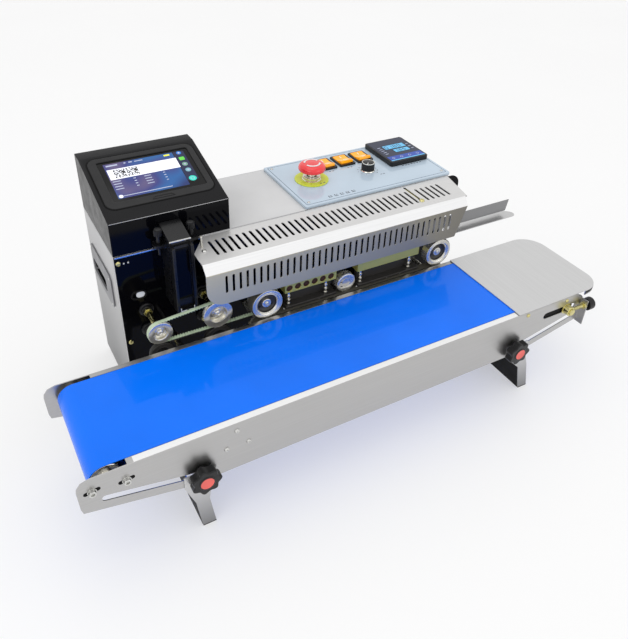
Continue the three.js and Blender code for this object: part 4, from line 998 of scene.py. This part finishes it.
def emergency_stop():
    x, y, _ = centre("estop_collar")
    base = span("estop_collar")[0].z
    disc = ring(circle(x, y, 27.5, 96), circle(x, y, 8, 96), "z", base, base + 1.2)
    piece("estop_plate", disc, YELLOW, replaces=["estop_collar"])
    collar = [(8, 1.1), (15.4, 1.1), (15.4, 2.2), (14.2, 3), (14.2, 6.4), (13.6, 7), (8, 7), (8, 1.1)]
    piece("estop_ring", lathe(x, y, collar, "z", 96, base), WHEEL, edge=0.15)
    marks = [block(u, y - 21.5, base + 1, u + 3.5, y - 19.6, base + 1.25) for u in (x + 4, x + 10)]
    piece("estop_plate_dashes", merged(*marks), PANEL_TEXT, edge=0)
    body = "stop_button"
    low, high = span("estop_button")
    head = high.z - 12.5
    skirt = [(0, low.z), (6.6, low.z), (6.6, head - 4), (12.6, head - 4), (13, head + 1), (0, head + 1)]
    piece("estop_stem", lathe(x, y, skirt, "z", 96), WHEEL, body, 0.15, ["estop_button"])
    cap = [(0, 0), (20.2, 0), (21.2, 0.6), (21.8, 2), (21.9, 4)]
    for angle in (math.radians(9 * i) for i in range(1, 11)):
        cap.append((21.9 - 8 * (1 - math.cos(angle)), 4 + 7.4 * math.sin(angle)))
    cap += [(9, 11.9), (0, 12.2)]
    piece("estop_head", lathe(x, y, cap, "z", 96, head), RED, body, 0)
    arrows = []
    for start in (20, 200):
        outer, inner = (arc(x, y, r, start, start + 120, 24) for r in (13.2, 11.4))
        end, tip = math.radians(start + 120), math.radians(start + 138)
        corners = ((14.4, end), (12.3, tip), (10.2, end))
        point = [(x + r * math.cos(a), y + r * math.sin(a)) for r, a in corners]
        arrows += [prism(outline, "z", high.z - 2, high.z) for outline in (outer + inner[::-1], point)]
    piece("estop_arrows", merged(*arrows), MARK_WHITE, body, 0)


def speed_knob():
    body = "speed_dial"
    low, high = span("speed_knob")
    x, y, _ = centre("speed_knob")
    base, top = PANEL_TOP + RUNNING_GAP, high.z
    skirt = [(0, low.z), (3, low.z), (3, base), (11.8, base), (12, base + 0.6), (11.4, base + 2),
             (0, base + 2)]
    piece("speed_skirt", lathe(x, y, skirt, "z"), BRIGHT, body, 0.1, ["speed_knob"])
    knurl = prism(polar(x, y, (10.9, 10.9, 10.4, 10.4) * 24), "z", base + 1.8, top - 1.2)
    piece("speed_grip", knurl, BLACK, body)
    rim = ring(circle(x, y, 10.6), circle(x, y, 9.4), "z", top - 1.4, top - 0.2)
    piece("speed_rim", rim, BRIGHT, body, 0.2)
    disc = [(0, -1.4), (9.4, -1.4), (9.4, -0.5), (0, -0.3)]
    piece("speed_top", lathe(x, y, disc, "z", base=top), BLACK, body, 0)
    turn = Matrix.Translation((x, y, 0)) @ Matrix.Rotation(math.radians(230), 4, "Z")
    line = moved(block(3, -0.5, top - 0.6, 9.2, 0.5, top - 0.1), turn)
    piece("speed_pointer", line, MARK_WHITE, body, 0)


# The usual seven bars of a numeral, as corners in half widths and half heights, and which are off.
DIGIT_BARS = {
    "top": (-1, 1, 1, 1),
    "middle": (-1, 0, 1, 0),
    "bottom": (-1, -1, 1, -1),
    "upper_left": (-1, 0, -1, 1),
    "upper_right": (1, 0, 1, 1),
    "lower_left": (-1, -1, -1, 0),
    "lower_right": (1, -1, 1, 0),
}
DIGITS_OFF = {
    "0": ("middle",),
    "1": ("top", "middle", "bottom", "upper_left", "lower_left"),
    "5": ("upper_right", "lower_left"),
    "6": ("upper_right",),
    "8": (),
}


def seven_segments(u, v, width, height, digit, top):
    """A numeral centred on (u, v)."""
    thick = 0.5
    shapes = []
    for name, (x0, y0, x1, y1) in DIGIT_BARS.items():
        across, up = (0, thick) if x0 != x1 else (thick, 0)
        if name not in DIGITS_OFF[digit]:
            shapes.append(block(u + x0 * width / 2 - across, v + y0 * height / 2 - up, top - 0.2,
                                u + x1 * width / 2 + across, v + y1 * height / 2 + up, top + 0.08))
    return shapes


def controller():
    low, high = span("temperature_controller")
    left, right, near = low.x, high.x, low.y
    under, top = high.z - 0.6, high.z - 0.2
    case = prism(inside(low, high, 0, 4), "z", low.z, under)
    piece("controller_case", case, BLACK, ROOT, 1.0, ["temperature_controller"])
    face = prism(inside(low, high, 2.6, 2), "z", high.z - 1, high.z - 0.3)
    piece("controller_face", face, NAVY, edge=0.2)
    strip = prism(rounded(left + 4, near + 4, right - 4, near + 20, 1), "z", under, top)
    piece("controller_keys", strip, KEY_BLUE, edge=0)
    light = block(left + 4, near + 4, under, right - 4, near + 6.6, top + 0.04)
    piece("controller_strip", light, KEY_SKY, edge=0)
    windows, frames = [], []
    for x0, y0, x1, y1 in ((left + 20, near + 46, right - 14, near + 60),
                           (left + 31, near + 31, right - 15, near + 42)):
        windows.append(block(x0, y0, under, x1, y1, top))
        outer = rounded(x0 - 1, y0 - 1, x1 + 1, y1 + 1, 0.6, 2)
        inner = rounded(x0 - 0.1, y0 - 0.1, x1 + 0.1, y1 + 0.1, 0.3, 2)
        frames.append(ring(outer, inner, "z", under, top + 0.1))
    piece("controller_windows", merged(*windows), KEY_SKY, edge=0)
    piece("controller_frames", merged(*frames), MATTE_BLACK, edge=0)
    digits = []
    for text, u, pitch, v, width, height in (("0180", left + 25, 8.6, near + 53, 4.6, 8.4),
                                             ("165", left + 36, 7.6, near + 36.5, 3.6, 6.4)):
        for column, digit in enumerate(text):
            digits += seven_segments(u + pitch * column, v, width, height, digit, top)
    piece("controller_digits", merged(*digits), NAVY, edge=0)
    marks = []
    for u in (left + 13 + 16.6 * i for i in range(4)):
        key = circle(u, near + 13, 2.6, 24), circle(u, near + 13, 1.9, 24)
        marks.append(ring(*key, "z", top - 0.1, top + 0.08))
    for x0, x1, first, pitch, count in ((left + 9, left + 15, near + 30, 6.4, 5),
                                        (right - 11, right - 6, near + 34, 9, 3)):
        for y in (first + pitch * i for i in range(count)):
            marks.append(block(x0, y, top - 0.5, x1, y + 1.2, top + 0.05))
    piece("controller_marks", merged(*marks), DISPLAY_GREY, edge=0)


# ---------------------------------------------------------------- sealing head

WHEELS = {
    "upper_drive_wheel": "upper_drive",
    "lower_drive_wheel": "lower_drive",
    "upper_driven_wheel": "upper_driven",
    "lower_driven_wheel": "lower_driven",
}
GUIDE_BACK_Y = span("upper_guide_belt")[1].y
# Behind the band's rim, each drive wheel carries a guide belt on a smaller one.
BAND_RIM = 15
GUIDE_RIM_RADIUS = 22.3


def head_wheels():
    """Turned wheels: a domed rim, a deep groove round the hub, fine rings and a centre screw."""
    for node, body in WHEELS.items():
        low, high = span(node)
        x, z, r = wheel_of(node)
        y, depth = low.y, high.y - low.y
        profile = [(0, 4.4), (2.4, 4.4), (2.6, 3.4), (6.4, 3.4), (7, 3.9), (7.2, 7.6), (14.6, 7.6),
                   (15.2, 2.4), (16.2, 1.4), (16.8, 1.7), (17.4, 1), (19.4, 0.3), (19.9, 0.6),
                   (20.4, 0.1), (r - 1.2, 0), (r - 0.3, 0.3), (r, 1.1), (r, BAND_RIM)]
        hub_back = BAND_RIM
        if "drive_wheel" in node:
            hub_back = GUIDE_BACK_Y + 0.4 - y
            profile += [(GUIDE_RIM_RADIUS, BAND_RIM + 0.2), (GUIDE_RIM_RADIUS, hub_back)]
        profile += [(9, hub_back), (9, hub_back + 7.6), (5, hub_back + 7.6), (5, depth), (0, depth)]
        piece(body + "_turning", lathe(x, z, profile, "y", 96, y), WHEEL, body, 0.12, [node])
        # A thin dark ring of painted shadow lines the groove round the hub.
        shade_lining = [(7.2, 7.5), (14.5, 7.5), (14.5, 3.4), (14.9, 3.2), (14.9, 7.8), (7.2, 7.8), (7.2, 7.5)]
        recess_shadow = lathe(x, z, shade_lining, "y", 96, y)
        piece(body + "_recess", recess_shadow, SHOE_AND_SHADE, body, 0)
        hub = [(0, 4.6), (2.9, 4.6), (2.9, 2.2), (1.6, 1.5), (1.2, 2), (0, 2)]
        piece(body + "_centre_screw", lathe(x, z, hub, "y", 32, y), SCREW_STEEL, body, 0.1)
        pits = [prism(circle(u, v, 1.7, 16), "y", y + 7.2, y + 7.75)
                for u, v in arc(x, z, 11, 90, 330, 2)]
        piece(body + "_set_screws", merged(*pits), MATTE_BLACK, body, 0)


def sealing_bands():
    for side in ("upper", "lower"):
        wheels = sorted(wheel_of(f"{side}_{kind}_wheel") for kind in ("drive", "driven"))
        low, high = span(side + "_sealing_band")
        thickness = (high.z - low.z) / 2 - wheels[0][2] - RUNNING_GAP
        outer = loop_path(wheels, RUNNING_GAP + thickness, 64)
        band = ring(outer, loop_path(wheels, RUNNING_GAP, 64), "y", low.y, high.y)
        piece(side + "_band", band, BAND, ROOT, 0, [side + "_sealing_band"])


def even_points(path, count):
    """The same number of steps along a closed line, all of one length."""
    lengths = [0.0]
    for start, end in zip(path, path[1:] + path[:1]):
        lengths.append(lengths[-1] + math.dist(start, end))
    points, segment = [], 0
    for i in range(count):
        target = lengths[-1] * i / count
        while lengths[segment + 1] < target:
            segment += 1
        share = (target - lengths[segment]) / max(1e-9, lengths[segment + 1] - lengths[segment])
        (u0, v0), (u1, v1) = path[segment], path[(segment + 1) % len(path)]
        points.append((u0 + (u1 - u0) * share, v0 + (v1 - v0) * share))
    return points


def guide_belts():
    """Toothed belts from the end pulley to the drive wheel, teeth inwards."""
    pitch, tooth, thickness = 4.0, 1.3, 2
    for side, cloth in (("upper", GUIDE_BELT), ("lower", RUBBER)):
        low, high = span(side + "_guide_belt")
        x, z, _ = wheel_of(side + "_drive_wheel")
        end_x, end_z, end_rim = wheel_of(side + "_guide_pulley_end")
        wheels = [(end_x, end_z, end_rim - thickness + 0.1), (x, z, GUIDE_RIM_RADIUS)]
        path = loop_path(wheels, RUNNING_GAP, 40)
        length = sum(math.dist(a, b) for a, b in zip(path, path[1:] + path[:1]))
        count = 4 * round(length / pitch)
        line = even_points(path, count)
        outer, inner = [], []
        for i, (u, v) in enumerate(line):
            before, after = line[i - 1], line[(i + 1) % count]
            du, dv = after[0] - before[0], after[1] - before[1]
            out_u, out_v = dv / math.hypot(du, dv), -du / math.hypot(du, dv)
            lift = 0 if i % 4 < 2 else tooth
            inner.append((u + out_u * lift, v + out_v * lift))
            outer.append((u + out_u * thickness, v + out_v * thickness))
        belt = ring(outer, inner, "y", low.y, high.y)
        piece(side + "_toothed_belt", belt, cloth, ROOT, 0, [side + "_guide_belt"])


def guide_pulleys():
    seat = PLATE_FRONT
    for side, metal in (("upper", WHEEL), ("lower", SHOE_AND_SHADE)):
        belt_low, belt_high = span(side + "_guide_belt")
        front, back = belt_low.y - 1.2, belt_high.y + 1.2
        depth = back - front
        for kind in ("end", "middle"):
            node, body = f"{side}_guide_pulley_{kind}", f"{side}_guide_{kind}"
            x, z, rim = wheel_of(node)
            r = rim - 1.9
            profile = [(0, 5.6), (r - 5.4, 5.6), (r - 5, 0.9), (r - 3.4, 0), (rim - 0.4, 0), (rim, 0.4),
                       (rim, 0.9), (r, 1), (r, depth - 1), (rim, depth - 0.9), (rim, depth),
                       (4.4, depth), (4.4, depth + 2), (0, depth + 2)]
            pulley = lathe(x, z, profile, "y", 96, front)
            piece(body + "_pulley", pulley, metal, body, 0.12, [node])
            if (side, kind) == ("upper", "middle"):
                flange = [(r - 6, 0.6), (r - 6, -0.6), (r - 4, -1), (r + 1, -1), (r + 2.6, -0.6),
                          (r + 3, 0.6), (r - 6, 0.6)]
                piece(body + "_flange", lathe(x, z, flange, "y", 96, front), WHEEL, body, 0.1)
            bearing = [(0, 5.8), (7.2, 5.8), (7.2, 4.4), (6, 4), (5.6, 4.5), (4.6, 4.5), (4.4, 2.4),
                       (2.2, 1.4), (1.8, 2.2), (0, 2.2)]
            race = lathe(x, z, bearing, "y", 64, front)
            piece(body + "_bearing", race, metal, body, 0.1)
            end = span(node)[1].y
            axle = [(0, back + 1), (4, back + 1), (4.1, back + 2), (4.1, end), (0, end)]
            piece(body + "_axle", lathe(x, z, axle, "y", 48), BRASS_BRIGHT, body, 0.1)
            collar = [(4.8, 0), (4.8, -8), (7.6, -8), (8.6, -6.4), (8.6, -4), (10.4, -3), (10.4, 0),
                      (4.8, 0)]
            piece(body + "_collar", lathe(x, z, collar, "y", 48, seat), BLACK)
            nut = ring(circle(x, z, 6.6, 6), circle(x, z, 4.6, 6), "y", seat - 11, seat - 8.2)
            piece(body + "_nut", nut, BRASS_BRIGHT)


def press_rolls():
    """Knurled steel rolls that squeeze the sealed mouth between the two bands."""
    for node, body in (("press_wheel", "press_roll"), ("backing_wheel", "backing_roll")):
        low, high = span(node)
        x, z, r = wheel_of(node)
        front, back = low.y, low.y + 12
        knurl = prism(polar(x, z, (r - 0.5, r) * 54), "y", front + 0.7, back - 0.7)
        piece(body + "_knurl", knurl, WHEEL, body, 0.1, [node])
        face = [(0, 1.6), (5.2, 1.6), (6, 0.9), (7.4, 0.6), (11.6, 0.2), (12.6, 0), (r - 1.6, 0),
                (r - 0.5, 0.9), (0, 2.9)]
        piece(body + "_face", lathe(x, z, face, base=front), WHEEL, body, 0)
        shaft = rod(x, z, 4.1, back - 1, high.y, steps=40)
        piece(body + "_shaft", shaft, SCREW_STEEL, body, 0.1)
        marks = [block(u - 2.2, front + 0.1, v - 0.5, u + 2.2, front + 0.3, v + 0.5)
                 for u, v in ((x - 9, z + 3), (x - 8, z - 5))]
        piece(body + "_marks", merged(*marks), MATTE_BLACK, body, 0)


BAR_FRONT, BAR_BACK, BAR_HEIGHT = 176, 192, 15.2
STUD_Y = 178.6


def press_bars():
    """Brass heating and cooling bars over dark shoes, hung on studs with springs."""
    for side, up in (("upper", 1), ("lower", -1)):
        for kind in ("heating", "cooling"):
            node, label = f"{side}_{kind}_block", f"{side}_{kind}_"
            low, high = span(node)
            sole, far = (low.z, high.z) if up > 0 else (high.z, low.z)
            near = far - up * BAR_HEIGHT
            carve = []
            if kind == "cooling":
                places = [(low.x + 7.5 + 14 * i, (near + far) / 2) for i in range(6)]
                bores = [prism(circle(u, v, 5.1, 32), "y", BAR_FRONT - 1, BAR_FRONT + 9) for u, v in places]
                pits = [prism(circle(u, v, 5, 32), "y", BAR_FRONT + 1.2, BAR_FRONT + 8.9) for u, v in places]
                carve = [merged(*bores)]
                piece(label + "pits", merged(*pits), PIT_BROWN, edge=0)
            bar_low, bar_high = sorted((near, far))
            bar = block(low.x, BAR_FRONT, bar_low, high.x, BAR_BACK, bar_high)
            piece(label + "bar", bar, BRASS, ROOT, 0.7, [node], carve)
            slabs = (
                ("shoe", 0, 172, 191, sole, sole + up * 4.4, SHOE_AND_SHADE, 0.8),
                ("carrier", 4, 185, 191, sole + up * 4.2, near + up * 0.4, SHOE_AND_SHADE, 0.4),
                ("bracket", 20, 191.6, PLATE_FRONT, near + up * 2, near + up * 8, SCREW_STEEL, 0.4),
            )
            for name, inset, y0, y1, z0, z1, material, edge in slabs:
                slab = block(low.x + inset, y0, z0, high.x - inset, y1, z1)
                piece(label + name, slab, material, edge=edge)
            studs = []
            start, end = sorted((sole + up * 3, near + up))
            for x in (low.x + 7, high.x - 17):
                studs.append(rod(x, STUD_Y, 2.2, start, end, "z", 32))
                for lift in (5, 12, 19):
                    z0, z1 = sorted((sole + up * lift, sole + up * (lift + 2.6)))
                    if start < z0 and z1 < end:
                        studs.append(rod(x, STUD_Y, 3.4, z0, z1, "z", 32))
            piece(label + "studs", merged(*studs), BRIGHT)
    seal = (span("upper_heating_block")[0].z + span("lower_heating_block")[1].z) / 2
    end = min(span(f"{side}_driven_wheel")[0].x for side in ("upper", "lower")) - 4
    piece("band_guard_strip", block(338, 166.6, seal - 7, end, 168.2, seal - 1.4), GUARD_BEVEL)


# ---------------------------------------------------------------- guard over the head

GUARD_LOW, GUARD_HIGH = span("guard_cover")
GUARD_BEVEL_Y = 176
GUARD_BEVEL_Z = 261
GUARD_SHEET = 1.2
GUARD_FOLD = 2.4
TOP_SLOTS = {"count": 39, "first": 254, "last": 648, "from": 190.5, "to": 229, "half": 2.1}
FRONT_SLOTS = {"count": 38, "first": 253, "last": 632, "from": 226, "to": 254.3, "half": 1.9}
LOOK_SLOT = 33


def fillet(points, radius, steps=6):
    """An open line with its inner corners rounded."""
    line = [points[0]]
    for before, corner, after in zip(points, points[1:], points[2:]):
        corner, before, after = Vector(corner), Vector(before), Vector(after)
        into, out = (corner - before).normalized(), (after - corner).normalized()
        reach = radius * math.tan(into.angle(out) / 2)
        start, end = corner - into * reach, corner + out * reach
        for t in (i / steps for i in range(steps + 1)):
            line.append(tuple(start * (1 - t) ** 2 + corner * 2 * t * (1 - t) + end * t ** 2))
    return line + [points[-1]]


def folded(points, thickness, radius):
    """The outline of a folded sheet whose outer face follows the points; the sheet lies on their left."""
    line = fillet(points, radius)
    inner = []
    for i, (u, v) in enumerate(line):
        before, after = line[max(0, i - 1)], line[min(len(line) - 1, i + 1)]
        du, dv = after[0] - before[0], after[1] - before[1]
        run = math.hypot(du, dv)
        inner.append((u - dv / run * thickness, v + du / run * thickness))
    return line + inner[::-1]


def slot_places(slots):
    step = (slots["last"] - slots["first"]) / (slots["count"] - 1)
    return [slots["first"] + i * step for i in range(slots["count"])]


def slot_outline(slots, x):
    half = slots["half"]
    return capsule(x, slots["from"] + half, x, slots["to"] - half, half)


def guard_cuts():
    """Slots, the open right end, the rounded lower left corner and the notch beside the printer."""
    left, right, bottom = GUARD_LOW.x, GUARD_HIGH.x, GUARD_LOW.z
    front, back, top = GUARD_LOW.y, GUARD_HIGH.y, GUARD_HIGH.z
    through_top = "z", top - 4, top + 2
    through_front = "y", front - 2, front + 4
    upper = []
    for i, x in enumerate(slot_places(TOP_SLOTS)):
        long_slot = capsule(x - 2, 197, x - 2, back - 5, 2.2)
        upper.append(prism(long_slot if i == LOOK_SLOT else slot_outline(TOP_SLOTS, x), *through_top))
    lower = [prism(slot_outline(FRONT_SLOTS, x), *through_front) for x in slot_places(FRONT_SLOTS)]
    slant = [(right - 18, top + 5), (right - 21, GUARD_BEVEL_Z), (right - 40, bottom - 5),
             (right + 5, bottom - 5), (right + 5, top + 5)]
    shoulder = [(right - 16, GUARD_BEVEL_Y - 1), (right + 4, GUARD_BEVEL_Y - 1), (right + 4, back + 4),
                (right, back + 4)]
    radius = 26
    corner = arc(left + radius, bottom + radius, radius, 270, 180, 16)
    corner += [(left - 2, bottom + radius), (left - 2, bottom - 2), (left + radius, bottom - 2)]
    notch = [(left - 3, 206), (left, 206), (left + 22, 236), (left + 22, back + 4), (left - 3, back + 4)]
    return [
        merged(*upper),
        merged(*lower),
        prism(slant, "y", front - 2, GUARD_BEVEL_Y),
        prism(shoulder, "z", top - 4, top + 4),
        prism(corner, *through_front),
        prism(notch, "z", top - 4, top + 4),
    ]


def guard():
    low, high = GUARD_LOW, GUARD_HIGH
    face = [(high.y, high.z), (GUARD_BEVEL_Y, high.z), (low.y, GUARD_BEVEL_Z), (low.y, low.z)]
    sheet = prism(folded(face, GUARD_SHEET, GUARD_FOLD), "x", low.x, high.x)
    cover = piece("guard_sheet", sheet, STEEL_TOP, ROOT, 0.2, ["guard_cover"], guard_cuts())
    # Painted light: the sheet's faces take lit and shaded copies of one steel by the way they face, with the
    # dark shoe steel as painted shade on the faces underneath and behind.
    for material in (GUARD_FRONT, GUARD_BEVEL, SHOE_AND_SHADE):
        cover.data.materials.append(material)
    front_slot, bevel_slot, shade_slot = 1, 2, 3
    for face in cover.data.polygons:
        normal = face.normal
        if normal.z < -0.4 or normal.y > 0.4:
            face.material_index = shade_slot
        elif normal.y < -0.92:
            face.material_index = front_slot
        elif normal.y < -0.3 and normal.z > 0.3:
            face.material_index = bevel_slot
    top = high.z
    # A pale strip along the guard's back edge: painted highlight.
    lip = block(low.x + 23, high.y - 0.4, top - 1, 415, high.y + 0.5, top + 1)
    piece("guard_back_highlight", lip, EDGE_HIGHLIGHT, edge=0.2)
    look_x = slot_places(TOP_SLOTS)[LOOK_SLOT] - 2
    screws("guard_slot_screw", [(look_x + 0.2, 193.5)], 4.2, top, 1, "z", BRASS_BRIGHT)
    screws("guard_corner_screw", [(239.5, 207)], 3.6, top, 1, "z")
    gauge = block(look_x - 0.9, 204, top - 2.4, look_x + 0.9, 238, top - 1.4)
    piece("guard_gauge_strip", gauge, BRASS_BRIGHT, edge=0.2)
    post = [(0, -3), (1.9, -3), (1.9, 17), (1.4, 17.6), (0, 17.6)]
    piece("guard_post", lathe(240, 217.5, post, "z", 32, top), WHEEL, edge=0.2)


def bag_guide_screws():
    high = span("lower_bag_guide")[1]
    screws("bag_guide_screws", [(708, high.y - 6), (738, high.y - 6)], 2.2, high.z, 1, "z")


dress_cad_nodes()
conveyor_belt()
rollers()
star_knobs()
leg_painted_shades()
conveyor_fasteners()
table_skirt()
tensioner()
casing_fasteners()
plate_openings()
side_skins()
power_inlet()
screen_bezel()
screen_picture()
hood_details()
cartridge_details()
thumb_screws()
panel_plate()
panel_marks()
rocker_switches()
emergency_stop()
speed_knob()
controller()
head_wheels()
sealing_bands()
guide_belts()
guide_pulleys()
press_rolls()
press_bars()
guard()
bag_guide_screws()


# ---------------------------------------------------------------- floor, light and camera

FLOOR_SIZE = 400
FLOOR_Z = -0.0005
FLOOR_GLOW = 0.455
ROOM_LIGHT = 0.91
LIGHT_TARGET = Vector((0, 0, 0.15))


def studio_floor():
    paint = Paint("pale_floor", (0.48, 0.48, 0.48), 0.6)
    paint.set("Emission Color", (1, 1, 1, 1))
    paint.set("Emission Strength", FLOOR_GLOW)
    paint.vary_roughness(paint.noise(2), 0.55, 0.65)
    half = FLOOR_SIZE / 2
    mesh = bpy.data.meshes.new("floor")
    corners = [(x, y, FLOOR_Z) for x, y in ((-half, -half), (half, -half), (half, half), (-half, half))]
    mesh.from_pydata(corners, [], [(0, 1, 2, 3)])
    mesh.materials.append(paint.material)
    obj = bpy.data.objects.new("floor", mesh)
    bpy.context.scene.collection.objects.link(obj)


def softbox(name, location, size, power):
    light = bpy.data.lights.new(name, "AREA")
    light.shape = "RECTANGLE"
    light.size, light.size_y = size
    light.energy = power
    obj = bpy.data.objects.new(name, light)
    obj.location = location
    obj.rotation_euler = (LIGHT_TARGET - Vector(location)).to_track_quat("-Z", "Y").to_euler()
    bpy.context.scene.collection.objects.link(obj)


def studio():
    studio_floor()
    world = bpy.data.worlds.new("studio")
    world.use_nodes = True
    background = world.node_tree.nodes["Background"]
    background.inputs["Color"].default_value = (1, 1, 1, 1)
    background.inputs["Strength"].default_value = ROOM_LIGHT
    bpy.context.scene.world = world
    softbox("overhead_light", (-0.1, 0.1, 1.9), (1.6, 1.2), 4.5)
    softbox("left_light", (-1.7, -1.0, 1.2), (1.0, 1.0), 4)
    softbox("front_light", (0.9, -1.9, 0.9), (1.2, 0.8), 3)
    view = bpy.context.scene.view_settings
    view.view_transform = "Standard"
    view.look = "None"


IMAGE_HEIGHT = 639
SENSOR = 36.0
FOCAL_PIXELS = 684.0
CAMERA_PLACE = (-28.5, -531.0, 778.2)
CAMERA_TURN = (55.265, -2.374, -29.894)
CAMERA_SHIFT = (-0.0100, -0.0717)


def camera():
    data = bpy.data.cameras.new("camera")
    data.sensor_width = SENSOR
    data.lens = FOCAL_PIXELS * SENSOR / IMAGE_HEIGHT
    data.shift_x, data.shift_y = CAMERA_SHIFT
    data.clip_end = 50
    obj = bpy.data.objects.new("camera", data)
    obj.location = Vector(CAMERA_PLACE) * MM + ORIGIN
    obj.rotation_euler = [math.radians(a) for a in CAMERA_TURN]
    bpy.context.scene.collection.objects.link(obj)
    bpy.context.scene.camera = obj


studio()
camera()
